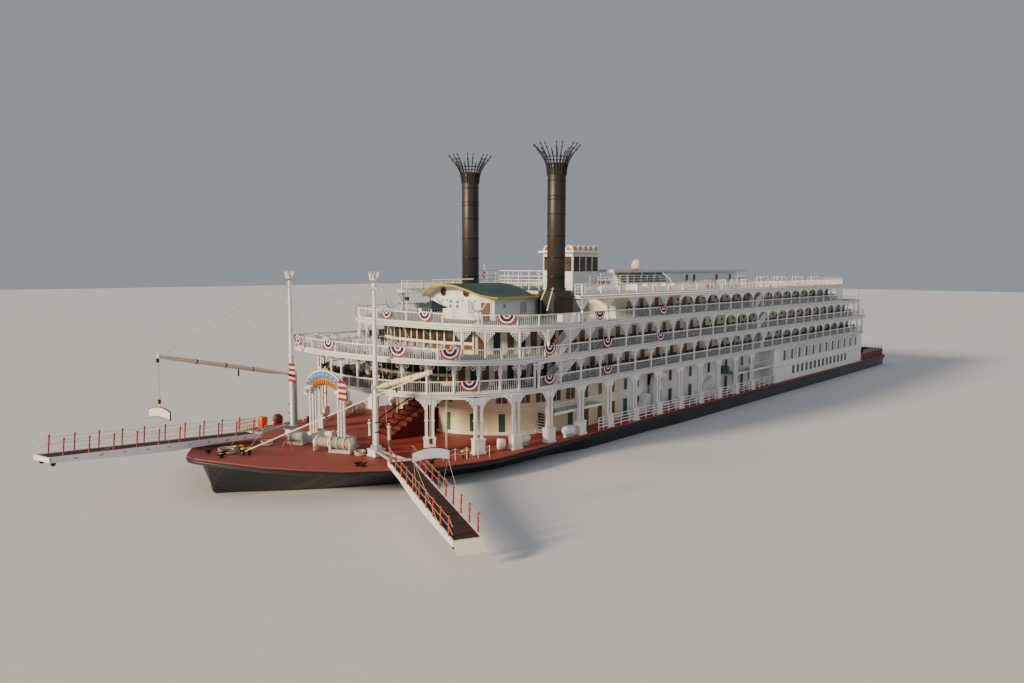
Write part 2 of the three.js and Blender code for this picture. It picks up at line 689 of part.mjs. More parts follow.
// rings round the mast, lugs for the boom, and the arms that reach round the mast's foot
// and down to the yoke of the stage
function swivelSolid({ heelX, heelY, heelZ, turn }) {
  const ring = [[34, 0], [46, 0], [46, 30], [34, 30], [34, 0]];
  const low = turned(ring, 10, 0, 0, SWIVEL_LOW);
  const high = turned([[24, 0], [36, 0], [36, 30], [24, 30], [24, 0]], 10, 0, 0, BOOM_HEEL_Z - 15);
  const lugs = [-14, 14].map((y) => {
    return box(30, BOOM_HEEL_R + 16, y - 4, y + 4, BOOM_HEEL_Z - 12, BOOM_HEEL_Z + 12);
  });
  const arms = [-60, 60].map((y) => {
    return bar([88, y / 5], [heelX - 16, heelY + y], heelZ - 14, heelZ + 6, 7);
  });
  const yoke = box(-26, -6, -90, 90, heelZ - 14, heelZ + 6);
  yoke.rotateZ(turn * DEG).translate(heelX, heelY, 0);
  const stems = [-12, 12].map((y) => {
    return box(-42, -32, y - 8, y + 8, SWIVEL_LOW + 10, BOOM_HEEL_Z);
  });
  return join([
    low, high, ...lugs, ...arms, ...stems, yoke,
    box(36, 98, -20, 20, SWIVEL_LOW + 4, SWIVEL_LOW + 30),
    box(78, 98, -22, 22, Math.min(heelZ - 14, SWIVEL_LOW + 4), Math.max(heelZ + 6, SWIVEL_LOW + 30)),
    box(-42, -24, -20, 20, BOOM_HEEL_Z - 15, BOOM_HEEL_Z + 15),
    box(-46, -34, -20, 20, SWIVEL_LOW, SWIVEL_LOW + 30),
  ]);
}

const boomPiece = () => join([
  box(-8, 24, -9, 9, -8, 8),
  rodAlongX(13, 20, BOOM_L - 20, 0, 0, 8),
  box(BOOM_L - 24, BOOM_L, -14, 14, -18, 18),
]);

// girders shallow at both ends and deep between, like a fish's belly
const STAGE_END_H = 35;
function stageSolid(long) {
  const w = STAGE_W / 2;
  const girder = [
    [long, 0], [long, -STAGE_END_H], [long * 0.65, -STAGE_H], [long * 0.45, -STAGE_H],
    [long * 0.2, -STAGE_END_H], [0, -STAGE_END_H], [0, 0],
  ];
  const posts = [];
  for (let i = 0; i < STAGE_POSTS; i += 1) {
    const x = long * (i + 0.5) / STAGE_POSTS;
    [4 - w, w - 4].forEach((y) => posts.push(box(x - 4, x + 4, y - 4, y + 4, -10, 120)));
  }
  return join([
    panel(girder, -w, 8 - w), panel(girder, w - 8, w),
    box(0, long, 2 - w, w - 2, -24, -8),
    box(long - 14, long, -w, w, -STAGE_END_H, -4),
    box(0, 14, -w, w, -STAGE_END_H, -4),
    ...posts,
  ]);
}

// swing turns the whole rig; heelX and heelY place the stage's hinge in the turned frame,
// where turn and drop (down positive) aim the stage
const RIG_PORT = {
  side: "port", s: 1, swing: 67, heelX: 454, heelY: 64.5, heelZ: 517, turn: -2.9, drop: 3.66, long: 1610,
};
const RIG_STARBOARD = {
  side: "starboard", s: -1, swing: 10.35, heelX: 450, heelY: 0, heelZ: 561, turn: 0, drop: -5.11, long: 1820,
};
[RIG_PORT, RIG_STARBOARD].forEach((rig) => {
  const place = (g) => g.rotateZ(rig.swing * DEG).translate(MAST_X, rig.s * MAST_Y, 0);
  add(`mast_${rig.side}`, mastSolid().translate(MAST_X, rig.s * MAST_Y, MAST_FOOT_Z), WHITE);
  add(`swivel_${rig.side}`, place(swivelSolid(rig)), STEEL);
  const boom = boomPiece().rotateY(-BOOM_UP * DEG).translate(BOOM_HEEL_R + 8, 0, BOOM_HEEL_Z);
  add(`boom_${rig.side}`, place(boom), BOOM_CREAM);
  const stage = stageSolid(rig.long).rotateY(rig.drop * DEG).rotateZ(rig.turn * DEG);
  add(`stage_${rig.side}`, place(stage.translate(rig.heelX, rig.heelY, rig.heelZ)), WHITE);
});

// Bow arch

const ARCH_X = 5145;
const ARCH_FOOT = standOn(ARCH_X, 40);
const archBand = [];
for (let a = 0; a <= 180; a += 15) {
  archBand.push([262 * Math.cos(a * DEG), 960 + 155 * Math.sin(a * DEG)]);
}
for (let a = 180; a >= 0; a -= 15) {
  archBand.push([200 * Math.cos(a * DEG), 960 + 93 * Math.sin(a * DEG)]);
}
const archLegs = [-1, 1].flatMap((s) => [
  box(ARCH_X - 40, ARCH_X + 40, s * 208 - 40, s * 208 + 40, ARCH_FOOT, ARCH_FOOT + 90),
  rod(11, ARCH_FOOT + 80, 965, ARCH_X - 22, s * 208 - 20, 8),
  rod(11, ARCH_FOOT + 80, 965, ARCH_X - 22, s * 208 + 20, 8),
  rod(11, ARCH_FOOT + 80, 965, ARCH_X + 22, s * 208, 8),
  box(ARCH_X - 42, ARCH_X + 42, s * 221 - 42, s * 221 + 42, 945, 966),
]);
add("bow_arch", join([frameAcross(archBand, ARCH_X - 10, ARCH_X + 10), ...archLegs]), ARCH_BLUE);

// Windlass

const WIND_X = 5226;
const WIND_Y = 335;
const WIND_TURN = 25.3;
const windZ = standOn(WIND_X, 100);
add("windlass", join([
  box(-55, 55, -100, 100, 0, 26),
  rodAlongY(42, -88, 88, 0, 78, 16),
  box(-48, 48, -96, -82, 20, 120),
  box(-48, 48, 82, 96, 20, 120),
  rodAlongY(54, -40, -26, 0, 78, 16),
  rodAlongY(54, 26, 40, 0, 78, 16),
]).rotateZ(WIND_TURN * DEG).translate(WIND_X, WIND_Y, windZ), STEEL);

// Paddle wheel

const ARMS = 14;
function wheelFrame(y0, y1) {
  const step = 360 / ARMS;
  const at = (r, a) => [r * Math.cos(a * DEG), r * Math.sin(a * DEG)];
  const rim = [];
  const holes = [];
  for (let i = 0; i < ARMS; i += 1) {
    const a = i * step;
    rim.push(at(WHEEL_R - 25, a));
    holes.push([
      at(66, a + step / 2 - 3), at(WHEEL_R - 70, a + 1.6),
      at(WHEEL_R - 70, a + step - 1.6), at(66, a + step / 2 + 3),
    ]);
  }
  return panel(rim, y0, y1, holes).translate(WHEEL_X, 0, WHEEL_Z);
}
const wheelParts = [];
[-WHEEL_W / 2, WHEEL_W / 2 - 12].forEach((y) => wheelParts.push(wheelFrame(y, y + 12)));
for (let i = 0; i < ARMS; i += 1) {
  const float = box(WHEEL_R - 75, WHEEL_R, -WHEEL_W / 2 - 4, WHEEL_W / 2 + 4, -4, 4);
  wheelParts.push(float.rotateY(-2 * Math.PI * i / ARMS).translate(WHEEL_X, 0, WHEEL_Z));
}
wheelParts.push(rodAlongY(AXLE_R, -545, 545, WHEEL_X, WHEEL_Z, 16));
wheelParts.push(rodAlongY(50, -WHEEL_W / 2 - 8, WHEEL_W / 2 + 8, WHEEL_X, WHEEL_Z, 16));
add("paddle_wheel", join(wheelParts), WHEEL_RED);

// Steerable drives and their propellers

[["port", 1], ["starboard", -1]].forEach(([side, s]) => {
  const y = s * DRIVE_Y;
  const pod = turned([[0, -110], [14, -104], [26, -70], [28, 40], [18, 60], [0, 60]], 12, 0, 0, 0);
  pod.rotateY(Math.PI / 2).translate(DRIVE_X, y, 92);
  add(`drive_${side}`, join([
    pod,
    box(DRIVE_X - 34, DRIVE_X + 34, y - 9, y + 9, 100, 186),
    rod(44, 180, 195.2, DRIVE_X, y, 16),
  ]), DARK_STEEL);
  const blades = [0, 90, 180, 270].map((a) => {
    const blade = box(-4, 4, -20, 20, 8, PROP_R);
    return blade.rotateZ(0.6).rotateX(a * DEG);
  });
  const hub = rodAlongX(20, -20, 20, 0, 0, 12);
  add(`propeller_${side}`, join([hub, ...blades]).translate(DRIVE_X + 82, y, 92), BRONZE);
});

export default part;
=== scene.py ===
import json
import math

import bpy
from mathutils import Matrix, Vector

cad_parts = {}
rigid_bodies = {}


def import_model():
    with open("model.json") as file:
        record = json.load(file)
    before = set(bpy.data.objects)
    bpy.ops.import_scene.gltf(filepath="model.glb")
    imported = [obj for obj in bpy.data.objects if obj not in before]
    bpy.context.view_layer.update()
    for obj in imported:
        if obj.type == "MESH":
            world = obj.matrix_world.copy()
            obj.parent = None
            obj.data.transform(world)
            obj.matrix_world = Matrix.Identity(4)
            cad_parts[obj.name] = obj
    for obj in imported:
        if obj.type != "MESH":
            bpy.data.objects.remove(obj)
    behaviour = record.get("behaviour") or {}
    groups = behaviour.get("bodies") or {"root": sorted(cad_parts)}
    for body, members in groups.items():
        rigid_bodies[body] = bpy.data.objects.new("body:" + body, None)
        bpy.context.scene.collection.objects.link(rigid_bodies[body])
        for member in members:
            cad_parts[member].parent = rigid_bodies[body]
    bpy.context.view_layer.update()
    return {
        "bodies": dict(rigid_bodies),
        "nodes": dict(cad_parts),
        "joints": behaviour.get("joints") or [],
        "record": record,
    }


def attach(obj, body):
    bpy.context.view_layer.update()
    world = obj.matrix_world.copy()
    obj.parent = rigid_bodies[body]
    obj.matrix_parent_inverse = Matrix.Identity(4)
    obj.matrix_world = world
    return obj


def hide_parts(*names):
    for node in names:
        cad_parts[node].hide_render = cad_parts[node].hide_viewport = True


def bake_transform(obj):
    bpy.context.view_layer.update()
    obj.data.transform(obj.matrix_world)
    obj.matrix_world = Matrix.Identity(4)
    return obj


# Sternwheel paddle boat at 1:10, in metres: 0.1 here is one metre on the full-size boat.
# +X bow, +Y port, +Z up; the waterline is at WATER_Z.

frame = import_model()
NODES = frame["nodes"]

WATER_Z = 0.26
MAIN_Z = 0.43
DECK = {2: 0.948, 3: 1.216, 4: 1.499, 5: 1.762}
SLAB = 0.032
RAIL_H = 0.105
POST_Y = 1.296
WALL_Y = 1.09
BAY = 0.3134

# camera: place, heading, pitch and roll in degrees, lens in mm on a 36 mm sensor
CAMERA_AT = (9.0966, 5.6811, 2.0243)
CAMERA_YAW = 221.614
CAMERA_PITCH = 5.446
CAMERA_ROLL = 0.165
CAMERA_LENS = 27.375


def move(x, y, z):
    return Matrix.Translation((x, y, z))


def spin(angle, axis):
    return Matrix.Rotation(angle, 4, axis)


class Piece:
    """Collects the faces of one piece, and can repeat each shape on the other side of the boat."""

    def __init__(self, name, *materials):
        self.name = name
        self.materials = materials
        self.points = []
        self.faces = []
        self.slots = []
        self.smooth = []
        self.place = Matrix.Identity(4)
        self.both = False

    def mesh(self, points, faces, slot=0, smooth=False):
        for flip in (False, True) if self.both else (False,):
            base = len(self.points)
            for p in points:
                q = self.place @ Vector(p)
                self.points.append((q.x, -q.y if flip else q.y, q.z))
            for face in faces:
                ring = [base + i for i in face]
                self.faces.append(ring[::-1] if flip else ring)
                self.slots.append(slot)
                self.smooth.append(smooth)

    def box(self, x0, x1, y0, y1, z0, z1, slot=0):
        points = [(x, y, z) for z in (z0, z1) for x, y in ((x0, y0), (x1, y0), (x1, y1), (x0, y1))]
        faces = [(3, 2, 1, 0), (4, 5, 6, 7), (0, 1, 5, 4), (1, 2, 6, 5), (2, 3, 7, 6), (3, 0, 4, 7)]
        self.mesh(points, faces, slot)

    def block(self, centre, size, slot=0):
        (x, y, z), (a, b, c) = centre, size
        self.box(x - a / 2, x + a / 2, y - b / 2, y + b / 2, z - c / 2, z + c / 2, slot)

    def between(self, outline, low, high, slot=0, smooth=False):
        """A closed outline, given at two places, joined by side faces. low and high are functions."""
        n = len(outline)
        points = [low(a, b) for a, b in outline] + [high(a, b) for a, b in outline]
        faces = [tuple(range(n))[::-1], tuple(range(n, 2 * n))]
        self.mesh(points, faces, slot)
        sides = [(i, (i + 1) % n, (i + 1) % n + n, i + n) for i in range(n)]
        self.mesh(points, sides, slot, smooth)

    def plan(self, outline, z0, z1, slot=0):
        self.between(outline, lambda a, b: (a, b, z0), lambda a, b: (a, b, z1), slot)

    def side(self, outline, y0, y1, slot=0):
        """An outline in x and z between two y places."""
        self.between(outline, lambda a, b: (a, y1, b), lambda a, b: (a, y0, b), slot)

    def across(self, outline, x0, x1, slot=0):
        """An outline in y and z between two x places."""
        self.between(outline, lambda a, b: (x0, a, b), lambda a, b: (x1, a, b), slot)

    def tube(self, path, radius, sides=6, slot=0, caps=True):
        path = [Vector(p) for p in path]
        radii = radius if hasattr(radius, "__len__") else [radius] * len(path)
        points = []
        for i, p in enumerate(path):
            along = (path[min(i + 1, len(path) - 1)] - path[max(i - 1, 0)]).normalized()
            helper = Vector((0, 0, 1)) if abs(along.z) < 0.9 else Vector((1, 0, 0))
            u = along.cross(helper).normalized()
            w = along.cross(u)
            for k in range(sides):
                a = 2 * math.pi * k / sides
                points.append(p + radii[i] * (math.cos(a) * u + math.sin(a) * w))
        faces = []
        for i in range(len(path) - 1):
            for k in range(sides):
                a, b = i * sides + k, i * sides + (k + 1) % sides
                faces.append((a, b, b + sides, a + sides))
        self.mesh(points, faces, slot, sides > 4)
        if caps:
            last = (len(path) - 1) * sides
            self.mesh(points, [tuple(range(sides))[::-1], tuple(range(last, last + sides))], slot)

    def turned(self, profile, centre=(0, 0, 0), sides=12, slot=0, smooth=True, start=0.0):
        points = []
        for r, h in profile:
            for k in range(sides):
                a = start + 2 * math.pi * k / sides
                x, y = r * math.cos(a), r * math.sin(a)
                points.append((centre[0] + x, centre[1] + y, centre[2] + h))
        faces = []
        for i in range(len(profile) - 1):
            for k in range(sides):
                a, b = i * sides + k, i * sides + (k + 1) % sides
                faces.append((a, b, b + sides, a + sides))
        last = (len(profile) - 1) * sides
        self.mesh(points, faces, slot, smooth)
        ends = []
        if profile[0][0] > 0:
            ends.append(tuple(range(sides))[::-1])
        if profile[-1][0] > 0:
            ends.append(tuple(range(last, last + sides)))
        self.mesh(points, ends, slot)

    def made(self):
        data = bpy.data.meshes.new(self.name)
        data.from_pydata(self.points, [], self.faces)
        for material in self.materials:
            data.materials.append(material)
        data.polygons.foreach_set("material_index", self.slots)
        data.polygons.foreach_set("use_smooth", self.smooth)
        data.update()
        data.validate()
        obj = bpy.data.objects.new(self.name, data)
        bpy.context.scene.collection.objects.link(obj)
        return obj

    def done(self, body):
        obj = self.made()
        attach(obj, body)
        return obj

    def blended(self, body, other, start, end):
        """For a rope whose ends lie on two bodies that one joint links; the mesh is only baked into world
        space, not attached to either body.
        """
        obj = self.made()
        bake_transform(obj)
        return obj


# Materials

def new_material(name, colour, rough=0.5, metal=0.0, spread=0.08, scale=6.0, bump=0.05, fine=60.0):
    """A paint or metal whose colour drifts a little over the surface, with a faint grain."""
    material = bpy.data.materials.new(name)
    material.use_nodes = True
    tree = material.node_tree
    shader = tree.nodes["Principled BSDF"]
    shader.inputs["Roughness"].default_value = rough
    shader.inputs["Metallic"].default_value = metal
    place = tree.nodes.new("ShaderNodeTexCoord")
    drift = tree.nodes.new("ShaderNodeTexNoise")
    drift.inputs["Scale"].default_value = scale
    drift.inputs["Detail"].default_value = 4.0
    ramp = tree.nodes.new("ShaderNodeValToRGB")
    dark = [c * (1 - spread) for c in colour]
    light = [min(1.0, c * (1 + spread)) for c in colour]
    ramp.color_ramp.elements[0].position = 0.3
    ramp.color_ramp.elements[0].color = (*dark, 1)
    ramp.color_ramp.elements[1].position = 0.7
    ramp.color_ramp.elements[1].color = (*light, 1)
    tree.links.new(place.outputs["Object"], drift.inputs["Vector"])
    tree.links.new(drift.outputs["Fac"], ramp.inputs["Fac"])
    tree.links.new(ramp.outputs["Color"], shader.inputs["Base Color"])
    if bump:
        grain = tree.nodes.new("ShaderNodeTexNoise")
        grain.inputs["Scale"].default_value = fine
        relief = tree.nodes.new("ShaderNodeBump")
        relief.inputs["Strength"].default_value = bump
        relief.inputs["Distance"].default_value = 0.002
        tree.links.new(place.outputs["Object"], grain.inputs["Vector"])
        tree.links.new(grain.outputs["Fac"], relief.inputs["Height"])
        tree.links.new(relief.outputs["Normal"], shader.inputs["Normal"])
    return material


def top_and_sides(name, top, sides, rough=0.6, spread=0.12, scale=3.0):
    """One colour on faces that look up and another on the rest."""
    material = new_material(name, top, rough, spread=spread, scale=scale)
    tree = material.node_tree
    shader = tree.nodes["Principled BSDF"]
    ramp = next(n for n in tree.nodes if n.type == "VALTORGB")
    geometry = tree.nodes.new("ShaderNodeNewGeometry")
    split = tree.nodes.new("ShaderNodeSeparateXYZ")
    up = tree.nodes.new("ShaderNodeMath")
    up.operation = "GREATER_THAN"
    up.inputs[1].default_value = 0.6
    mix = tree.nodes.new("ShaderNodeMix")
    mix.data_type = "RGBA"
    mix.inputs["A"].default_value = (*sides, 1)
    tree.links.new(geometry.outputs["Normal"], split.inputs[0])
    tree.links.new(split.outputs["Z"], up.inputs[0])
    tree.links.new(up.outputs[0], mix.inputs["Factor"])
    tree.links.new(ramp.outputs["Color"], mix.inputs["B"])
    tree.links.new(mix.outputs["Result"], shader.inputs["Base Color"])
    return material


WHITE = new_material("white_paint", (0.78, 0.77, 0.75), 0.45, spread=0.05)
# the walls' cream, made warmer on the main house as painted low sunlight on its front; the upper houses take
# the paler cream below
CREAM_SUNLIT = new_material("cream_paint", (0.80, 0.69, 0.48), 0.5, spread=0.05)
CREAM_LIGHT = new_material("pale_cream", (0.82, 0.76, 0.62), 0.5, spread=0.05)
BLACK = new_material("hull_black", (0.012, 0.013, 0.015), 0.35, spread=0.4, scale=2.0, bump=0.15, fine=9)
IRON = new_material("black_iron", (0.015, 0.015, 0.016), 0.4)
STACK = new_material("stack_brown_black", (0.022, 0.015, 0.011), 0.45, spread=0.5, scale=3.0)
DECK_RED = top_and_sides("deck_red", (0.30, 0.048, 0.036), (0.02, 0.02, 0.022))
# green decks: the green on faces that look up is their own paint; the grey on the slab sides is painted shade
# under the white lips
DECK_TOP = top_and_sides("deck_green", (0.10, 0.18, 0.155), (0.60, 0.59, 0.57))
MAROON = new_material("maroon", (0.11, 0.020, 0.018), 0.6)
CARPET = new_material("carpet", (0.16, 0.02, 0.018), 0.9, bump=0.3)
POST_RED = new_material("red_posts", (0.42, 0.05, 0.035), 0.5)
ROOF = new_material("roof_green", (0.03, 0.065, 0.06), 0.45, spread=0.25)
YELLOW = new_material("yellow_trim", (0.62, 0.42, 0.06), 0.5)
GOLD = new_material("gold", (0.75, 0.48, 0.12), 0.25, metal=1.0, bump=0.0)
BLUE = new_material("blue_paint", (0.06, 0.19, 0.42), 0.45)
ORANGE = new_material("orange", (0.8, 0.14, 0.02), 0.5)
RED = new_material("red_paint", (0.5, 0.02, 0.02), 0.5)
GLASS = new_material("dark_glass", (0.008, 0.010, 0.012), 0.3, bump=0.0, spread=0.3)
WOOD = new_material("brown_wood", (0.17, 0.07, 0.03), 0.5, spread=0.3, scale=20)
GREY = new_material("grey_steel", (0.42, 0.42, 0.41), 0.45)
ROPE = new_material("rope", (0.55, 0.48, 0.36), 0.9, bump=0.4)
CANOPY = new_material("canopy", (0.62, 0.60, 0.56), 0.6, spread=0.08)
BRONZE = new_material("bronze", (0.5, 0.33, 0.12), 0.3, metal=1.0)
BOOM = new_material("boom_cream", (0.72, 0.62, 0.46), 0.5)
WHEEL = new_material("wheel_red", (0.34, 0.03, 0.02), 0.5)
GREEN = new_material("door_green", (0.02, 0.09, 0.06), 0.5)


def paint(material, *names):
    for name in names:
        data = NODES[name].data
        data.materials.clear()
        data.materials.append(material)


SIDES = ("port", "starboard")
paint(BLACK, "hull")
paint(DECK_RED, "main_deck")
paint(MAROON, *[f"bulwark_{s}" for s in SIDES])
# main house: cream with painted warm sunlight
paint(CREAM_SUNLIT, "main_house")
paint(CREAM_LIGHT, "house_2", "house_3", "house_4")
paint(WHITE, "stern_house", "texas_house", "deck_hut", "pilothouse", "sun_house", "bow_arch")
paint(CARPET, "grand_stair")
paint(DECK_TOP, "deck_2", "deck_3", "deck_4", "deck_5")
paint(WHITE, *[f"gallery_{n}_{s}" for n in (2, 3, 4) for s in SIDES])
paint(WHITE, "front_gallery_2", "front_gallery_3", "front_gallery_4", "front_posts_3")
paint(WHITE, *[f"{n}_{s}" for n in ("main_columns", "sun_rail", "mast", "stage") for s in SIDES])
paint(ROOF, "texas_roof")
paint(CANOPY, "sun_canopy")
paint(STACK, *[f"stack_{s}" for s in SIDES])
paint(IRON, *[f"stack_base_{s}" for s in SIDES])
paint(GREY, "windlass", *[f"{n}_{s}" for n in ("swivel", "drive") for s in SIDES])
paint(BOOM, *[f"boom_{s}" for s in SIDES])
paint(WHEEL, "paddle_wheel")
paint(BRONZE, *[f"propeller_{s}" for s in SIDES])


# Camera, floor and light

def make_camera():
    data = bpy.data.cameras.new("camera")
    data.sensor_width = 36.0
    data.lens = CAMERA_LENS
    data.clip_end = 200.0
    obj = bpy.data.objects.new("camera", data)
    bpy.context.scene.collection.objects.link(obj)
    yaw, pitch, roll = (math.radians(a) for a in (CAMERA_YAW, CAMERA_PITCH, CAMERA_ROLL))
    ahead = Vector((math.cos(pitch) * math.cos(yaw), math.cos(pitch) * math.sin(yaw), -math.sin(pitch)))
    right = Vector((math.sin(yaw), -math.cos(yaw), 0))
    up = right.cross(ahead)
    r = math.cos(roll) * right + math.sin(roll) * up
    u = -math.sin(roll) * right + math.cos(roll) * up
    turn = Matrix((r, u, -ahead)).transposed().to_4x4()
    obj.matrix_world = Matrix.Translation(CAMERA_AT) @ turn
    bpy.context.scene.camera = obj


def make_floor():
    size = 60.0
    data = bpy.data.meshes.new("floor")
    corners = [(-size, -size, WATER_Z), (size, -size, WATER_Z), (size, size, WATER_Z),
               (-size, size, WATER_Z)]
    data.from_pydata(corners, [], [(0, 1, 2, 3)])
    obj = bpy.data.objects.new("floor", data)
    bpy.context.scene.collection.objects.link(obj)
    data.materials.append(new_material("pale_floor", (0.70, 0.70, 0.70), 0.7, spread=0.01, bump=0.0))


def sun(name, direction, energy, colour, angle):
    data = bpy.data.lights.new(name, "SUN")
    data.energy = energy
    data.color = colour
    data.angle = math.radians(angle)
    obj = bpy.data.objects.new(name, data)
    bpy.context.scene.collection.objects.link(obj)
    obj.rotation_euler = Vector(direction).to_track_quat("Z", "Y").to_euler()


make_camera()
make_floor()
sun("key", (0.84, -0.22, 0.27), 5.8, (1.0, 0.78, 0.52), 9)
sun("fill", (0.35, 0.9, 0.55), 0.35, (0.86, 0.92, 1.0), 40)
world = bpy.data.worlds.new("world")
bpy.context.scene.world = world
world.use_nodes = True
world.node_tree.nodes["Background"].inputs["Color"].default_value = (0.80, 0.86, 0.95, 1)
world.node_tree.nodes["Background"].inputs["Strength"].default_value = 0.37


# Shapes shared by several pieces

# half the width of the decks
EDGE_Y = 1.318
# plan of the front of each deck, from the centreline to port
FRONTS = {
    2: [(4.915, 0), (4.910, 0.12), (4.87, 0.33), (4.80, 0.60), (4.69, 0.80), (4.52, 0.96), (4.34, 1.08),
        (4.16, 1.17), (4.00, 1.25), (3.80, 1.295), (3.50, EDGE_Y)],
    3: [(5.055, 0), (5.045, 0.24), (5.005, 0.43), (4.98, 0.60), (4.93, 0.76), (4.86, 0.90), (4.775, 1.03),
        (4.71, 1.095), (4.63, 1.145), (4.45, 1.195), (4.20, 1.235), (4.10, 1.25), (3.96, 1.272),
        (3.72, 1.30), (3.48, EDGE_Y)],
    4: [(4.245, 0), (4.24, 0.24), (4.212, 0.48), (4.175, 0.70), (4.11, 0.89), (4.035, 1.03), (3.93, 1.16),
        (3.84, 1.215), (3.73, 1.255), (3.48, 1.295), (3.20, EDGE_Y)],
    5: [(2.45, 0), (2.45, 0.85), (2.88, 1.043), (3.08, 1.15), (3.19, 1.25), (3.22, EDGE_Y)],
}
AFT = {2: -4.94, 3: -5.0, 4: -4.71, 5: -3.87}
HOUSE_FRONTS = {
    1: [(3.99, 0.17), (3.93, 0.42), (3.80, 0.66), (3.60, 0.86), (3.30, 1.01), (2.95, WALL_Y)],
    2: [(4.40, 0), (4.36, 0.36), (4.20, 0.65), (3.95, 0.86), (3.60, 1.01), (3.25, WALL_Y)],
    3: [(4.08, 0), (4.06, 0.36), (3.96, 0.64), (3.76, 0.85), (3.45, 1.01), (3.15, WALL_Y)],
}


def inset(line, d):
    """A plan line moved by d towards the middle of the boat."""
    moved = []
    for i, (x, y) in enumerate(line):
        a = line[max(i - 1, 0)]
        b = line[min(i + 1, len(line) - 1)]
        tx, ty = b[0] - a[0], b[1] - a[1]
        length = math.hypot(tx, ty)
        moved.append((x - d, 0.0) if y == 0 else (x - d * ty / length, y + d * tx / length))
    return moved


def along(line, pitch):
    """Places at an even pitch on a plan line, each with the direction of the line there."""
    spots = []
    left = pitch / 2
    for a, b in zip(line, line[1:]):
        a, b = Vector(a), Vector(b)
        length = (b - a).length
        step = (b - a) / length
        while left < length:
            spots.append((a + step * left, step))
            left += pitch
        left -= length
    return spots


def facing(point, direction, z=0.0):
    """A frame at a plan point: local x along the line, local y outwards from the boat on the port side."""
    x = Vector((direction[0], direction[1], 0)).normalized()
    y = Vector((-x.y, x.x, 0))
    turn = Matrix((x, y, Vector((0, 0, 1)))).transposed().to_4x4()
    return move(point[0], point[1], z) @ turn


def wall(a, b):
    """The frame of a wall that runs aft from a to b: local x runs forward from b, local y looks outwards."""
    return facing(b, (a[0] - b[0], a[1] - b[1]))


def hull_sheer(x):
    return MAIN_Z + (0.154 * ((x - 4.2) / 2.2) ** 2 if x > 4.2 else 0.0)


def floor_at(deck, x):
    """The walking surface of a deck; the front of deck 3 climbs."""
    return DECK[deck] + (0.055 * max(0.0, x - 4.1) if deck == 3 else 0.0)


# Balustrades of the galleries

BALUSTER_PITCH = 0.019
BALUSTER = 0.0012


def baluster_row(piece, a, b, z, height=RAIL_H - 0.012):
    a, b = Vector(a), Vector(b)
    count = max(2, round((b - a).length / BALUSTER_PITCH))
    for i in range(1, count):
        p = a.lerp(b, i / count)
        piece.box(p.x - BALUSTER, p.x + BALUSTER, p.y - BALUSTER, p.y + BALUSTER, z, z + height)


def post_places(lead, first, last):
    places = list(lead)
    x = first
    while x > last + 0.12:
        places.append(x)
        x -= BAY
    return [*places, last]


GALLERY_POSTS = {
    2: post_places([], 3.8, -4.925),
    3: post_places([], 3.6638, -4.695),
    4: post_places([3.16, 2.73], 2.274, -3.858),
}


def side_balusters():
    piece = Piece("side_balusters", WHITE)
    piece.both = True
    for deck, places in GALLERY_POSTS.items():
        for a, b in zip(places, places[1:]):
            baluster_row(piece, (a, POST_Y), (b, POST_Y), DECK[deck] + 0.003)
    for i in range(22):
        x = 3.17 - 0.319 * i
        baluster_row(piece, (x, POST_Y), (x - 0.319, POST_Y), DECK[5] + 0.003)
    return piece.done("boat")


def front_balusters():
    piece = Piece("front_balusters", WHITE)
    piece.both = True
    ends = {2: (9, (3.828, 1.288)), 3: (13, (3.692, 1.303)), 4: (10, (3.188, 1.304))}
    for deck, (count, end) in ends.items():
        line = inset([*FRONTS[deck][:count], end], 0.0205)
        for spot, _ in along(line, BALUSTER_PITCH):
            x, y, z = spot.x, spot.y, floor_at(deck, spot.x) + 0.003
            piece.box(x - BALUSTER, x + BALUSTER, y - BALUSTER, y + BALUSTER, z, z + RAIL_H - 0.012)
    return piece.done("boat")


def edge_mouldings():
    """Rounded white lips along the edges of the decks."""
    piece = Piece("edge_mouldings", WHITE)
    piece.both = True
    for deck, front in FRONTS.items():
        for lift, reach, thick in ((-0.004, 0.004, 0.006), (-0.028, 0.002, 0.004)):
            edge = inset([*front, (AFT[deck], EDGE_Y)], -reach)
            line = [(x, y, floor_at(deck, x) + lift) for x, y in edge]
            line[-1] = (AFT[deck], EDGE_Y + reach, DECK[deck] + lift)
            piece.tube(line, thick, 6)
    return piece.done("boat")


def scroll(piece, place, side):
    """One curled bracket under a ceiling, that reaches from a post to the given side."""
    path = [(0.008, 0, -0.082), (0.012, 0, -0.06)]
    for i in range(15):
        a = math.radians(200 - 36 * i)
        r = 0.021 - 0.0012 * i
        path.append((0.033 + r * math.cos(a), 0, -0.028 + r * math.sin(a)))
    old = piece.place
    piece.place = old @ place @ Matrix.Scale(1.3, 4)
    piece.tube([(side * x, y, z) for x, y, z in path], 0.0034, 4)
    piece.box(*sorted((side * 0.006, side * 0.06)), -0.004, 0.004, -0.007, 0)
    piece.place = old


def lace(piece, place, side):
    """A pierced bracket: rows of beads that get shorter downwards, under a thin bar."""
    old = piece.place
    piece.place = old @ place
    piece.box(*sorted((side * 0.006, side * 0.088)), -0.003, 0.003, -0.006, 0)
    for row in range(5):
        z = -0.014 - 0.017 * row
        for k in range(5 - row):
            x = 0.014 + 0.0165 * k
            piece.box(*sorted((side * (x - 0.0052), side * (x + 0.0052))), -0.0025, 0.0025,
                      z - 0.006, z + 0.005)
        x = 0.014 + 0.0165 * (4 - row)
        piece.block((side * x, 0, z - 0.009), (0.004, 0.004, 0.010))
    piece.place = old


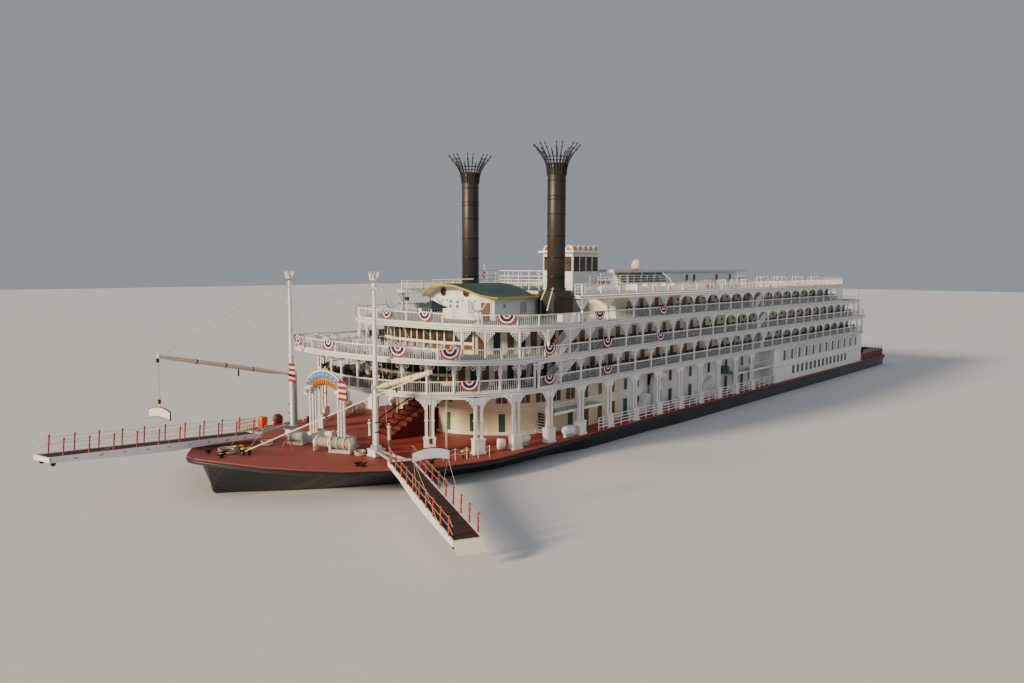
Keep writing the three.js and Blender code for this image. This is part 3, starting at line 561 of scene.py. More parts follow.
def arch(piece, x0, x1, y, top, rise, crown=0.010):
    """Spandrels of a round arch between two posts."""
    steps = 10
    cx, r = (x0 + x1) / 2, (x1 - x0) / 2
    curve = []
    for i in range(steps + 1):
        a = math.pi * i / steps
        curve.append((cx - r * math.cos(a), top - crown - rise * (1 - math.sin(a))))
    points = []
    for x, z in curve:
        points += [(x, y - 0.004, z), (x, y - 0.004, top), (x, y + 0.004, z), (x, y + 0.004, top)]
    faces = []
    for i in range(steps):
        a, b = 4 * i, 4 * i + 4
        faces += [(a, a + 1, b + 1, b), (a + 2, b + 2, b + 3, a + 3), (a, b, b + 2, a + 2)]
    piece.mesh(points, faces)


# posts under the front of deck 4
FRONT_POSTS_3 = [(4.155, 0.69), (4.075, 0.905), (3.90, 1.16), (3.64, 1.24)]

# posts carry scrolls forward of the first x, lace forward of the second, and arches aft of it
HEADS = {2: (0.84, -1.29), 3: (9.0, 0.49), 4: (9.0, 1.34)}


def gallery_heads():
    piece = Piece("gallery_heads", WHITE)
    piece.both = True
    for deck, (scrolls_to, lace_to) in HEADS.items():
        top = DECK[deck + 1] - SLAB - 0.010
        places = GALLERY_POSTS[deck]
        for x in places:
            if x > lace_to:
                for side in (1, -1):
                    ornament = scroll if x > scrolls_to else lace
                    ornament(piece, move(x, POST_Y, top), side)
        for a, b in zip(places, places[1:]):
            if a <= lace_to:
                arch(piece, b + 0.008, a - 0.008, POST_Y, top, 0.085)
    for deck, ornament, line in ((2, scroll, inset(FRONTS[2][:9], 0.020)), (3, lace, FRONT_POSTS_3)):
        for i in range(1 if deck == 2 else 0, len(line)):
            a, b = Vector(line[max(i - 1, 0)]), Vector(line[min(i + 1, len(line) - 1)])
            drop = SLAB + (0.001 if deck == 2 else 0.015)
            place = facing(line[i], b - a, floor_at(deck + 1, line[i][0]) - drop)
            for side in (1, -1):
                ornament(piece, place, side)
    for places, deck in ((GALLERY_POSTS[n], n) for n in (2, 3, 4)):
        for x in places:
            piece.block((x, POST_Y, DECK[deck] + 0.130), (0.021, 0.021, 0.010))
            piece.block((x, POST_Y, DECK[deck + 1] - SLAB - 0.102), (0.021, 0.021, 0.008))
    return piece.done("boat")


# Walls of the houses: doors, lamps and chairs along the bays

def door(piece, place, width=0.080, height=0.190):
    """Slots: 0 frame, 1 leaf, 2 glass."""
    old = piece.place
    piece.place = old @ place
    w = width / 2
    piece.box(-w - 0.009, w + 0.009, -0.002, 0.003, 0.001, height + 0.010, 0)
    piece.box(-w, w, 0, 0.0045, 0.001, height, 1)
    for x in (-w / 2, w / 2):
        piece.box(x - w * 0.32, x + w * 0.32, 0, 0.0056, height * 0.45, height * 0.92, 2)
        piece.box(x - w * 0.32, x + w * 0.32, 0, 0.0056, height * 0.08, height * 0.38, 1)
    piece.place = old


def chair(piece, place, slot=0):
    """A slatted armchair that looks along local +y."""
    old = piece.place
    piece.place = old @ place
    piece.box(-0.026, 0.026, -0.024, 0.026, 0.040, 0.044, slot)
    for x in (-0.024, 0.024):
        piece.box(x - 0.002, x + 0.002, 0.020, 0.024, 0.001, 0.066, slot)
        piece.box(x - 0.002, x + 0.002, -0.026, -0.022, 0.001, 0.112, slot)
        piece.box(x - 0.004, x + 0.004, -0.024, 0.028, 0.064, 0.067, slot)
    for i in range(4):
        x = -0.015 + 0.010 * i
        piece.box(x - 0.0032, x + 0.0032, -0.027, -0.024, 0.044, 0.106, slot)
    piece.box(-0.026, 0.026, -0.028, -0.022, 0.104, 0.114, slot)
    piece.place = old


def gallery_doors():
    piece = Piece("gallery_doors", WHITE, WOOD, AMBER)
    piece.both = True
    for deck, places in GALLERY_POSTS.items():
        for a, b in zip(places, places[1:]):
            mid = (a + b) / 2
            if deck == 4 and mid > 2.1:
                continue
            if mid > 3.1:
                continue
            door(piece, facing((mid, WALL_Y), (-1, 0), DECK[deck]) @ spin(math.pi, "Z"))
    return piece.done("boat")


def wall_trim():
    """Lamps between the doors, a skirting and a cornice along the walls."""
    piece = Piece("wall_trim", WHITE, IRON)
    piece.both = True
    for deck, places in GALLERY_POSTS.items():
        fore = {2: 3.25, 3: 3.15, 4: 2.3}[deck]
        aft = {2: -4.85, 3: -4.65, 4: -3.8}[deck]
        ceiling = DECK[deck + 1] - SLAB
        piece.box(aft, fore, WALL_Y - 0.001, WALL_Y + 0.004, DECK[deck] + 0.001, DECK[deck] + 0.022)
        piece.box(aft, fore, WALL_Y - 0.001, WALL_Y + 0.008, ceiling - 0.020, ceiling - 0.002)
        for x in places:
            if aft + 0.05 < x < fore - 0.05:
                piece.box(x - 0.006, x + 0.006, WALL_Y - 0.001, WALL_Y + 0.014, DECK[deck] + 0.145,
                          DECK[deck] + 0.172, 1)
                piece.box(x - 0.003, x + 0.003, WALL_Y - 0.001, WALL_Y + 0.018, DECK[deck] + 0.155,
                          DECK[deck] + 0.159, 1)
    return piece.done("boat")


def gallery_chairs():
    piece = Piece("gallery_chairs", CHAIR)
    piece.both = True
    for deck, places in GALLERY_POSTS.items():
        for i, (a, b) in enumerate(zip(places, places[1:])):
            if deck == 4 and a > 2.4:
                continue
            mid = (a + b) / 2
            for shift in (-0.10, -0.035, 0.035, 0.10):
                turn = spin(math.radians(12 * math.sin(7 * i + 50 * shift)), "Z")
                chair(piece, move(mid + shift, 1.205 + 0.01 * math.sin(9 * i + 40 * shift),
                                  DECK[deck]) @ turn)
    return piece.done("boat")


def salon_windows():
    """Glazed fronts of the houses on decks 2 and 3: dark panes between white bars."""
    piece = Piece("salon_windows", WHITE, GLASS_WARM, CREAM_LIGHT, WOOD, GLASS, AMBER)
    piece.both = True
    for deck in (2, 3):
        line = HOUSE_FRONTS[deck]
        low, high = DECK[deck] + 0.002, DECK[deck + 1] - SLAB - 0.001
        for k, (a, b) in enumerate(zip(line, line[1:])):
            length = math.hypot(b[0] - a[0], b[1] - a[1])
            piece.place = wall(a, b)
            if k >= 2:
                piece.box(0, length, -0.002, 0.004, low, low + 0.02, 0)
                piece.box(0, length, -0.002, 0.008, high - 0.022, high, 0)
                for i, slot in enumerate((3, 4, 3) if length > 0.3 else (4, 3)):
                    x = length * (i + 0.5) / (3 if length > 0.3 else 2)
                    piece.box(x - 0.038, x + 0.038, -0.002, 0.003, low, high - 0.030, 0)
                    piece.box(x - 0.032, x + 0.032, -0.002, 0.0045, low, high - 0.038, slot)
                continue
            count = max(1, round(length / 0.088))
            piece.box(0, length, -0.002, 0.002, low + 0.028, high - 0.022, 1)
            piece.box(0, length, -0.002, 0.006, low, low + 0.034, 0)
            piece.box(0, length, -0.002, 0.009, high - 0.030, high, 0)
            piece.box(0, length, -0.002, 0.008, low + 0.084, low + 0.110, 0)
            piece.box(0, length, -0.002, 0.003, low + 0.036, low + 0.084, 5)
            for i in range(count + 1):
                x = length * i / count
                piece.box(x - 0.006, x + 0.006, -0.002, 0.0085, low, high, 0)
    return piece.done("boat")


# Bunting: pleated half rounds of cloth on the rails

FAN_R = 0.086
FAN_BANDS = (0.0, 0.26, 0.40, 0.70, 0.85, 1.0)
# deck, x of each fan on the side rail
SIDE_FANS = {2: (3.66, 2.74), 3: (3.66, 2.75, 1.75), 4: (2.89, 1.70)}


def fan(name, place):
    """Local x runs along the rail and local y away from the boat."""
    piece = Piece(name, CLOTH_RED, CLOTH_WHITE, CLOTH_BLUE)
    piece.place = place
    pleats = 24
    for slot, inner, outer in zip((0, 1, 2, 1, 0), FAN_BANDS, FAN_BANDS[1:]):
        for k in range(pleats):
            corners = []
            for r, i in ((inner, k), (outer, k), (outer, k + 1), (inner, k + 1)):
                a = math.pi * i / pleats
                out = 0.012 + 0.004 * (i % 2) * r
                corners.append((FAN_R * r * math.cos(a), out, -FAN_R * r * math.sin(a)))
            piece.mesh(corners, [(0, 1, 2, 3)], slot)
    obj = piece.done("boat")


def bunting():
    ways = (("port", Matrix.Identity(4)), ("starboard", Matrix.Scale(-1, 4, (0, 1, 0))))
    for side, turn in ways:
        for deck, spots in SIDE_FANS.items():
            for i, x in enumerate(spots):
                place = move(x, POST_Y, DECK[deck] + RAIL_H)
                fan(f"bunting_{deck}_{side}_{i}", turn @ place)
        for deck, picks in ((2, (0.72,)), (3, (0.07, 0.58, 0.93)), (4, (0.19, 0.78))):
            line = inset(FRONTS[deck][:9], 0.012)
            spots = along(line, 0.01)
            for i, pick in enumerate(picks):
                if pick < 0.1 and side == "port":
                    continue
                spot, step = spots[int(pick * len(spots))]
                place = facing(spot, -step, floor_at(deck, spot.x) + RAIL_H)
                fan(f"bunting_front_{deck}_{side}_{i}", turn @ place)


# Columns, fences and doors of the main deck

COLUMNS = [(4.66, 0.80, -0.7), (4.39, 1.12, -0.4), (4.03, 1.225, -0.15), (3.62, 1.275, 0.0)]
COLUMNS += [(3.62 - 0.47 * i, 1.28, 0.0) for i in range(1, 10)]
# half of the bracket on a column, local x along the boat and z below the ceiling
BRACKET = [(0.036, 0), (0.118, 0), (0.118, -0.010), (0.108, -0.013), (0.101, -0.024), (0.086, -0.028),
           (0.079, -0.044), (0.066, -0.050), (0.060, -0.070), (0.050, -0.076), (0.045, -0.098),
           (0.036, -0.105)]


def column_dress():
    piece = Piece("column_dress", WHITE, CREAM_LIGHT)
    piece.both = True
    ceiling = DECK[2] - SLAB - 0.001
    for x, y, turn in COLUMNS:
        piece.place = move(x, y, 0) @ spin(turn, "Z")
        floor = hull_sheer(x + 0.06) + 0.001
        for side in (1, -1):
            outline = [(side * a, ceiling + b) for a, b in BRACKET]
            piece.side(outline if side > 0 else outline[::-1], -0.006, 0.006)
            for a, b in ((0.098, -0.018), (0.074, -0.040), (0.054, -0.066)):
                piece.turned([(0, -0.009), (0.009, -0.006), (0.009, 0.006), (0, 0.009)],
                             (side * a, 0, ceiling + b), 8)
            piece.box(*sorted((side * 0.010, side * 0.044)), -0.017, 0.017, ceiling - 0.20, ceiling - 0.19)
            piece.box(*sorted((side * 0.010, side * 0.044)), -0.016, 0.016, floor + 0.130, floor + 0.142)
        piece.box(-0.057, 0.057, -0.041, 0.041, floor, floor + 0.014)
        piece.box(-0.056, 0.056, -0.040, 0.040, floor + 0.122, floor + 0.132)
        piece.box(-0.036, 0.036, 0.0335, 0.0355, floor + 0.028, floor + 0.108, 1)
    piece.place = Matrix.Identity(4)
    return piece.done("boat")


def bar_fence(piece, line, floor, height=0.105, bars=3, thick=0.0022, pitch=0.157, slot=0):
    """Posts and level bars along a line of plan points; floor is a height or a function of x."""
    level = floor if callable(floor) else lambda x: floor
    for i in range(bars):
        lift = height * (i + 1) / bars
        piece.tube([(x, y, level(x) + lift) for x, y in line], thick, 6, slot)
    spots = [spot for spot, _ in along(line, pitch)]
    for p in [Vector(line[0]), *spots, Vector(line[-1])]:
        piece.tube([(p.x, p.y, level(p.x)), (p.x, p.y, level(p.x) + height)], thick * 1.3, 6, slot)


def fences():
    piece = Piece("fences", WHITE)
    piece.both = True
    bar_fence(piece, [(2.9, EDGE_Y), (-1.29, EDGE_Y)], MAIN_Z, 0.125, 4, 0.0048)
    bar_fence(piece, [(-5.12, 1.284), (-6.15, 1.284), (-6.265, 1.256), (-6.338, 1.186), (-6.338, 0.56)],
              MAIN_Z + 0.10, 0.07)
    bar_fence(piece, [(-5.18, 0.52), (-6.33, 0.52)], MAIN_Z, 0.10)
    bar_fence(piece, [(-5.17, 0.0), (-5.17, 0.515)], MAIN_Z, 0.10)
    for deck, aft in ((2, -4.925), (3, -4.985), (4, -4.69)):
        bar_fence(piece, [(aft, 1.296), (aft, 0.0)], DECK[deck], RAIL_H, 4)
    bar_fence(piece, [(-3.86, 1.296), (-3.86, 0.0)], DECK[5], RAIL_H, 3)
    for deck, fore, aft in ((3, -4.70, -4.985), (4, -3.87, -4.69)):
        bar_fence(piece, [(fore, POST_Y), (aft, POST_Y)], DECK[deck], RAIL_H, 4)
    bar_fence(piece, [(2.434, 0.80), (2.434, 0.84), (2.87, 1.03), (3.07, 1.137), (3.165, 1.21),
                      (3.17, POST_Y)], DECK[5], RAIL_H, 4)
    return piece.done("boat")


def guard():
    """The edge of the main deck: a thin red line over a black rubbing band, both running round the bow."""
    piece = Piece("guard", POST_RED, IRON)
    piece.both = True
    edge = [(6.383, 0.0), (6.378, 0.040), (6.354, 0.105), (6.225, 0.312), (6.054, 0.580), (5.844, 0.782),
            (5.648, 0.946), (5.366, 1.068), (5.121, 1.190), (4.845, 1.243), (4.564, 1.306), (4.369, 1.335),
            (4.2, 1.335), (0, 1.335), (-6.15, 1.335), (-6.29, 1.29), (-6.37, 1.215), (-6.372, 0.6)]
    piece.tube([(x, y, hull_sheer(x) - 0.004) for x, y in edge], 0.004, 6)
    piece.tube([(x, y, hull_sheer(x) - 0.026) for x, y in edge], 0.009, 8, 1)
    return piece.done("boat")


def stern_windows():
    """The white block aft: bays with tall windows, olive panels, a moulding, small windows below."""
    piece = Piece("stern_windows", WHITE, GLASS, OLIVE)
    piece.both = True
    low, high = DECK[2] - 0.230, DECK[2] - 0.060
    for i in range(-3, 9):
        x = -2.40 - 0.27 * i
        if i < 0:
            piece.box(x - 0.075, x + 0.075, 1.29, 1.315, low, high)
        piece.box(x - 0.040, x + 0.040, 1.313, 1.3165, low + 0.012, high - 0.012, 1)
        piece.box(x - 0.046, x - 0.040, 1.313, EDGE_Y, low + 0.006, high - 0.006)
        piece.box(x + 0.040, x + 0.046, 1.313, EDGE_Y, low + 0.006, high - 0.006)
        piece.box(x - 0.080, x + 0.080, 1.29, 1.322, high - 0.003, high + 0.008)
        if i < 8:
            piece.box(x - 0.170, x - 0.100, 1.290, 1.2965, low + 0.012, high - 0.012, 2)
            piece.box(x - 0.176, x - 0.170, 1.290, 1.298, low + 0.006, high - 0.006)
            piece.box(x - 0.100, x - 0.094, 1.290, 1.298, low + 0.006, high - 0.006)
    for z, reach in ((0.655, 0.010), (0.905, 0.012), (0.437, 0.008)):
        piece.box(-4.94, -1.29, 1.290, 1.292 + reach, z - 0.005, z + 0.005)
    for i in range(14):
        x = -1.98 - 0.167 * i
        piece.box(x - 0.040, x + 0.040, 1.290, 1.2960, 0.508, 0.624, 1)
        piece.box(x - 0.046, x + 0.046, 1.290, 1.2945, 0.500, 0.632)
    for i in range(20):
        piece.block((-1.40 - 0.18 * i, 1.301, 0.645), (0.02, 0.012, 0.010), 2)
    piece.both = False
    for y in (-0.9, -0.45, 0.45, 0.9):
        piece.box(-4.946, -4.94, y - 0.05, y + 0.05, MAIN_Z + 0.003, 0.62, 2)
        piece.box(-4.948, -4.94, y - 0.03, y + 0.03, 0.52, 0.60, 1)
    for y in (-1.1, -0.66, -0.22, 0.22, 0.66, 1.1):
        piece.box(-4.946, -4.94, y - 0.06, y + 0.06, 0.72, 0.86, 1)
        piece.box(-4.944, -4.94, y - 0.068, y + 0.068, 0.712, 0.868)
    return piece.done("boat")


def mezzanines():
    """Short balconies between the columns, half way up the main house."""
    piece = Piece("mezzanines", WHITE, DECK_TOP)
    piece.both = True
    z = MAIN_Z + 0.245
    for fore, aft in ((3.50, 2.72), (-0.15, -1.289)):
        piece.box(aft, fore, WALL_Y, 1.24, z - 0.014, z, 1)
        piece.box(aft, fore, 1.232, 1.246, z - 0.020, z + 0.003)
        piece.tube([(fore, 1.238, z + 0.085), (aft, 1.238, z + 0.085)], 0.003, 6)
        baluster_row(piece, (fore, 1.238), (aft, 1.238), z, 0.085)
        for end in (fore, aft):
            piece.tube([(end, 1.238, z + 0.085), (end, WALL_Y, z + 0.085)], 0.003, 6)
            baluster_row(piece, (end, 1.238), (end, WALL_Y), z, 0.085)
    return piece.done("boat")


def main_house_dress():
    """Small shuttered windows, green doors and trim on the walls of the main deck."""
    piece = Piece("main_house_dress", WHITE, WOOD, GLASS_WARM, GREEN, IRON, CREAM_LIGHT, AMBER)
    piece.both = True
    line = HOUSE_FRONTS[1]
    for a, b in zip(line, line[1:]):
        length = math.hypot(b[0] - a[0], b[1] - a[1])
        piece.place = wall(a, b)
        piece.box(0, length, -0.002, 0.006, MAIN_Z + 0.001, MAIN_Z + 0.030, 0)
        piece.box(0, length, -0.002, 0.010, DECK[2] - SLAB - 0.030, DECK[2] - SLAB - 0.001, 0)
        piece.box(0, length, -0.002, 0.005, MAIN_Z + 0.235, MAIN_Z + 0.247, 0)
        count = max(1, round(length / 0.20))
        for i in range(count):
            x = length * (i + 0.5) / count
            for w0, w1, slot, out in ((-0.030, 0.030, 2, 0.004), (-0.052, -0.032, 1, 0.006),
                                      (0.032, 0.052, 1, 0.006)):
                piece.box(x + w0, x + w1, -0.002, out, MAIN_Z + 0.305, MAIN_Z + 0.415, slot)
            if i % 2 == 0:
                piece.box(x - 0.038, x + 0.038, -0.002, 0.003, MAIN_Z + 0.002, MAIN_Z + 0.212, 5)
                piece.box(x - 0.031, x + 0.031, -0.002, 0.005, MAIN_Z + 0.002, MAIN_Z + 0.205, 3)
            piece.box(x - 0.034, x + 0.034, -0.002, 0.008, MAIN_Z + 0.415, MAIN_Z + 0.427, 0)
            piece.box(x - 0.003, x + 0.003, -0.002, 0.0055, MAIN_Z + 0.305, MAIN_Z + 0.415, 0)
    piece.place = Matrix.Identity(4)
    piece.box(-1.29, 2.2, WALL_Y - 0.001, WALL_Y + 0.0015, MAIN_Z + 0.001, DECK[2] - SLAB - 0.001, 0)
    for i, x in enumerate([2.80 - 0.235 * k for k in range(17)]):
        slot = 3 if i > 2 else 1
        door(piece, facing((x, WALL_Y), (-1, 0), MAIN_Z) @ spin(math.pi, "Z"), 0.075, 0.195)
        piece.box(x - 0.032, x + 0.032, WALL_Y - 0.001, WALL_Y + 0.007, MAIN_Z + 0.004, MAIN_Z + 0.19, slot)
        piece.box(x - 0.030, x + 0.030, WALL_Y - 0.001, WALL_Y + 0.004, MAIN_Z + 0.29, MAIN_Z + 0.41, 2)
        piece.box(x - 0.035, x + 0.035, WALL_Y - 0.001, WALL_Y + 0.003, MAIN_Z + 0.28, MAIN_Z + 0.42, 0)
    for z0, z1, out in ((MAIN_Z + 0.001, MAIN_Z + 0.025, 0.005),
                        (DECK[2] - SLAB - 0.025, DECK[2] - SLAB - 0.001, 0.009)):
        piece.box(-1.29, 2.95, WALL_Y - 0.001, WALL_Y + out, z0, z1, 0)
    return piece.done("boat")


def deck_stair(piece, top, foot, y0, y1, steps=13):
    """A white open stair along the side, with handrails. top and foot are (x, z)."""
    for i in range(1, steps):
        x = foot[0] + (top[0] - foot[0]) * i / steps
        z = foot[1] + (top[1] - foot[1]) * i / steps
        piece.box(x - 0.013, x + 0.013, y0, y1, z - 0.004, z)
    for y in (y0, y1):
        for lift, thick in ((0.0, 0.006), (0.095, 0.0035), (0.05, 0.002)):
            piece.tube([(foot[0], y, foot[1] + lift + 0.004), (top[0], y, top[1] + lift)], thick, 6)
        for i in range(0, 3 * steps + 1):
            x = foot[0] + (top[0] - foot[0]) * i / (3 * steps)
            z = foot[1] + (top[1] - foot[1]) * i / (3 * steps)
            piece.box(x - 0.0016, x + 0.0016, y - 0.0016, y + 0.0016, z, z + 0.095)


def side_stairs():
    piece = Piece("side_stairs", WHITE)
    piece.both = True
    deck_stair(piece, (3.14, DECK[4] - 0.036), (3.47, DECK[3]), 1.19, 1.284)
    deck_stair(piece, (3.20, DECK[3] - 0.036), (3.56, DECK[2]), 1.19, 1.284)
    deck_stair(piece, (-1.06, DECK[5] - 0.036), (-0.66, DECK[4]), 1.19, 1.284)
    deck_stair(piece, (-1.18, DECK[4] - 0.036), (-0.76, DECK[3]), 1.19, 1.284)
    deck_stair(piece, (-1.08, DECK[3] - 0.036), (-0.86, DECK[2]), 1.19, 1.284)
    piece.both = False
    deck_stair(piece, (3.38, 0.66), (3.43, MAIN_Z), 0.95, 1.08, 9)
    return piece.done("boat")


def grand_stair_rails():
    piece = Piece("grand_stair_rails", IRON, GOLD, WHITE)
    piece.both = True
    low, high = (4.55, MAIN_Z + 0.015), (3.62, 0.912)
    for lift, thick in ((0.10, 0.006), (0.012, 0.005)):
        piece.tube([(low[0], 0.142, low[1] + lift), (high[0], 0.142, high[1] + lift - 0.10)], thick, 6)
    for i in range(46):
        t = i / 46
        x, z = low[0] + (high[0] - low[0]) * t, low[1] + (high[1] - 0.10 - low[1]) * t
        piece.tube([(x, 0.142, z + 0.01), (x, 0.142, z + 0.10)], 0.0022, 4)
    piece.turned([(0.016, 0), (0.016, 0.11), (0.022, 0.115), (0.022, 0.125), (0.008, 0.130)],
                 (4.56, 0.142, MAIN_Z + 0.006), 8, 2)
    piece.turned([(0, 0.128), (0.012, 0.136), (0.014, 0.146), (0.008, 0.158), (0, 0.160)],
                 (4.56, 0.142, MAIN_Z + 0.006), 8, 1)
    return piece.done("boat")


# Bow rigs. A rig's frame has x along the boom and the mast's axis at its origin.

MAST_X = 5.09
MAST_Y = 0.616
MAST_HEAD_Z = 1.93
BOOM_HEEL = (0.05, 1.04)
BOOM_LENGTH = 1.344
BOOM_UP = math.radians(12.3)
# mast's y sign, swing, stage heel in the rig's frame, turn and drop of the stage, its length, how far out its
# board hangs, and the board's height
RIGS = {
    "port": (1, 67.0, (0.454, 0.0645, 0.517), -2.9, 3.66, 1.61, 1.363, 0.742),
    "starboard": (-1, 10.35, (0.45, 0.0, 0.561), 0.0, -5.11, 1.82, 1.363, 0.850),
}
STAGE_HALF = 0.0975


def rig_frame(side):
    s, swing = RIGS[side][:2]
    return move(MAST_X, s * MAST_Y, 0) @ spin(math.radians(swing), "Z")


def stage_frame(side):
    _, _, heel, turn, drop = RIGS[side][:5]
    turned = spin(math.radians(turn), "Z") @ spin(math.radians(drop), "Y")
    return rig_frame(side) @ Matrix.Translation(heel) @ turned


def boom_tip(side, back=0.0):
    reach = BOOM_LENGTH - back
    x, z = BOOM_HEEL[0] + reach * math.cos(BOOM_UP), BOOM_HEEL[1] + reach * math.sin(BOOM_UP)
    return rig_frame(side) @ Vector((x, 0, z))


def stage_dress(side):
    """Walk, red posts, rope rails, holes drawn as dark patches of painted shade, and beams of one landing
    stage.
    """
    piece = Piece(f"stage_{side}_dress", WALK, POST_RED, ROPE, WHITE, IRON, CREAM_LIGHT)
    piece.place = stage_frame(side)
    length, w = RIGS[side][5], STAGE_HALF
    piece.box(0.003, length - 0.003, -w + 0.010, w - 0.010, -0.0079, -0.0045, 0)
    for i in range(int(length / 0.05)):
        piece.box(0.03 + 0.05 * i, 0.034 + 0.05 * i, -w + 0.012, w - 0.012, -0.0045, -0.0030, 0)
    for y in (-w, w - 0.012):
        piece.box(0.0, length, y, y + 0.012, -0.0005, 0.004, 3)
    for x in (-0.004, length - 0.012):
        piece.box(x, x + 0.018, -w, w, -0.030, 0.0005, 5)
    spots = [length * (i + 0.5) / 10 for i in range(10)]
    for y in (0.004 - w, w - 0.004):
        out = 1 if y > 0 else -1
        for i, x in enumerate(spots):
            piece.turned([(0.0063, 0.003), (0.0063, 0.118), (0.0085, 0.121), (0.0085, 0.127),
                          (0.003, 0.132)], (x, y, 0), 6, 1)
            piece.box(x - 0.006, x + 0.006, *sorted((y + out * 0.004, y + out * 0.008)), -0.030, 0.006, 3)
            if 0 < i:
                # dark patches on the side below the walk: painted shade inside the holes
                for shift in (-0.028, -0.012):
                    xs = (x + spots[i - 1]) / 2 + shift + 0.02
                    piece.box(xs - 0.004, xs + 0.004, *sorted((y + out * 0.0025, y + out * 0.0048)),
                              -0.024, -0.014, 4)
        for level in (0.115, 0.065):
            path = [(0.0, y, level - 0.004)]
            for i, x in enumerate(spots):
                path.append((x, y, level))
                if i + 1 < len(spots):
                    path.append(((x + spots[i + 1]) / 2, y, level - 0.003))
            path.append((length - 0.01, y, level - 0.03))
            piece.tube(path, 0.0016, 5, 2)
    for x in spots:
        piece.box(x - 0.006, x + 0.006, -w + 0.008, w - 0.008, -0.034, -0.024, 3)
    if side == "port":
        piece.side([(length, -0.004), (length, -0.012), (length + 0.10, -0.052), (length + 0.10, -0.046)],
                   -w + 0.004, w - 0.004, 5)
    for y in (-w + 0.02, w - 0.032):
        piece.place = stage_frame(side) @ move(length - 0.04, y, -0.048) @ spin(math.pi / 2, "X")
        piece.turned([(0.016, -0.006), (0.018, -0.004), (0.018, 0.004), (0.016, 0.006)], (0, 0, 0), 12, 4)
    return piece.done(f"stage_{side}")


def hanging_board(side):
    """Blank arched board under the boom's tip, with its frame."""
    piece = Piece(f"board_{side}", WHITE, MAROON, GOLD)
    out, z = RIGS[side][6:8]
    turn = RIGS[side][3]
    piece.place = rig_frame(side) @ move(out, 0, z) @ spin(math.radians(turn), "Z")
    steps = 14
    for grow, x0, x1, slot in ((0.006, -0.004, 0.004, 1), (0.0, -0.006, 0.006, 0)):
        reach = 0.128 + grow
        outline = []
        for i in range(steps + 1):
            y = reach * (1 - 2 * i / steps)
            outline.append((y, 0.074 + grow - 0.026 * (y / reach) ** 2))
        for i in range(steps + 1):
            y = reach * (2 * i / steps - 1)
            outline.append((y, 0.006 - grow - 0.018 * (y / reach) ** 2))
        piece.across(outline, x0, x1, slot)
    piece.turned([(0, 0.07), (0.008, 0.078), (0.006, 0.09), (0, 0.096)], (0, 0, 0), 8, 2)
    return piece.done(f"swivel_{side}")


def ropes(name, material, lines, radius, body=None, blend=None):
    piece = Piece(name, material)
    for a, b in lines:
        piece.tube([a, b], radius, 5)
    if body:
        return piece.done(body)
    return piece.blended(*blend)


def falls(side):
    """The tackle from the boom's tip to the board, and the bridle from the board to the stage."""
    frame, (out, z) = rig_frame(side), RIGS[side][6:8]
    tip = boom_tip(side)
    block = frame @ Vector((out, 0, z + 0.12))
    lines = [(tip + Vector((dx, 0, 0)), block + Vector((dx, 0, 0))) for dx in (-0.006, 0.006)]
    start = ((block - Vector((0, 0, 0.02)))[:], tip[:])
    ropes(f"fall_{side}", ROPE, lines, 0.0022, blend=(f"swivel_{side}", f"boom_{side}", *start))
    stage, length = stage_frame(side), RIGS[side][5]
    ends = [stage @ Vector((length * t, y, 0.004)) for t in (0.50, 0.80) for y in (-0.09, 0.09)]
    corners = [frame @ Vector((out, y, z)) for y in (-0.12, 0.12)]
    lines = [(corners[i % 2], end) for i, end in enumerate(ends)]
    low = min(ends, key=lambda v: v.z)
    ropes(f"bridle_{side}", ROPE, lines, 0.0013,
          blend=(f"swivel_{side}", f"stage_{side}", corners[0][:], low[:]))
    ropes(f"board_slings_{side}", ROPE, [(block, corner) for corner in corners], 0.0018,
          body=f"swivel_{side}")
    block_piece = Piece(f"fall_block_{side}", IRON)
    block_piece.block(block, (0.018, 0.018, 0.034))
    block_piece.done(f"swivel_{side}")
    tip_block = Piece(f"tip_block_{side}", IRON)
    tip_block.block(tip - Vector((0, 0, 0.03)), (0.018, 0.018, 0.034))
    mid = boom_tip(side, 0.78)
    tip_block.block(mid - Vector((0, 0, 0.05)), (0.010, 0.010, 0.060))
    tip_block.done(f"boom_{side}")


def topping_lift(side):
    frame = rig_frame(side)
    head = frame @ Vector((0.02, 0, MAST_HEAD_Z))
    lines = [(head, boom_tip(side, 0.02)), (head + Vector((0, 0, -0.05)), boom_tip(side, 0.55))]
    heel = frame @ Vector((BOOM_HEEL[0], 0, BOOM_HEEL[1]))
    ropes(f"topping_lift_{side}", ROPE, lines, 0.0016,
          blend=(f"swivel_{side}", f"boom_{side}", head[:], boom_tip(side, 0.3)[:]))
    return heel


def guys():
    """The cream double tackle from the port boom's tip to the bow."""
    tip = boom_tip("port", 0.02)
    deck = Vector((5.97, 0.02, 0.545))
    block = deck.lerp(tip, 0.5)
    pair = [Vector((0.006, 0.008, 0)), Vector((-0.006, -0.008, 0))]
    ropes("guy_upper", BOOM, [(block + d, tip + d) for d in pair], 0.0034,
          blend=("swivel_port", "boom_port", block[:], tip[:]))
    ropes("guy_lower", BOOM, [(deck + d, block + d) for d in pair], 0.0034,
          blend=("boat", "swivel_port", deck[:], block[:]))
    piece = Piece("guy_block", IRON)
    piece.block(block, (0.022, 0.022, 0.022))
    piece.done("swivel_port")


def stays():
    """Wires from the mastheads aft and down to the bow."""
    lines = []
    for s in (1, -1):
        head = Vector((MAST_X, s * MAST_Y, MAST_HEAD_Z))
        lines.append((head, Vector((4.02, s * 0.95, 1.61))))
        lines.append((head, Vector((4.72, s * 1.02, 1.36))))
        lines.append((head, Vector((5.98, s * 0.12, 0.57))))
        lines.append((head, Vector((5.30, s * 1.06, 0.48))))
    ropes("stays", GREY, lines, 0.0012, body="boat")


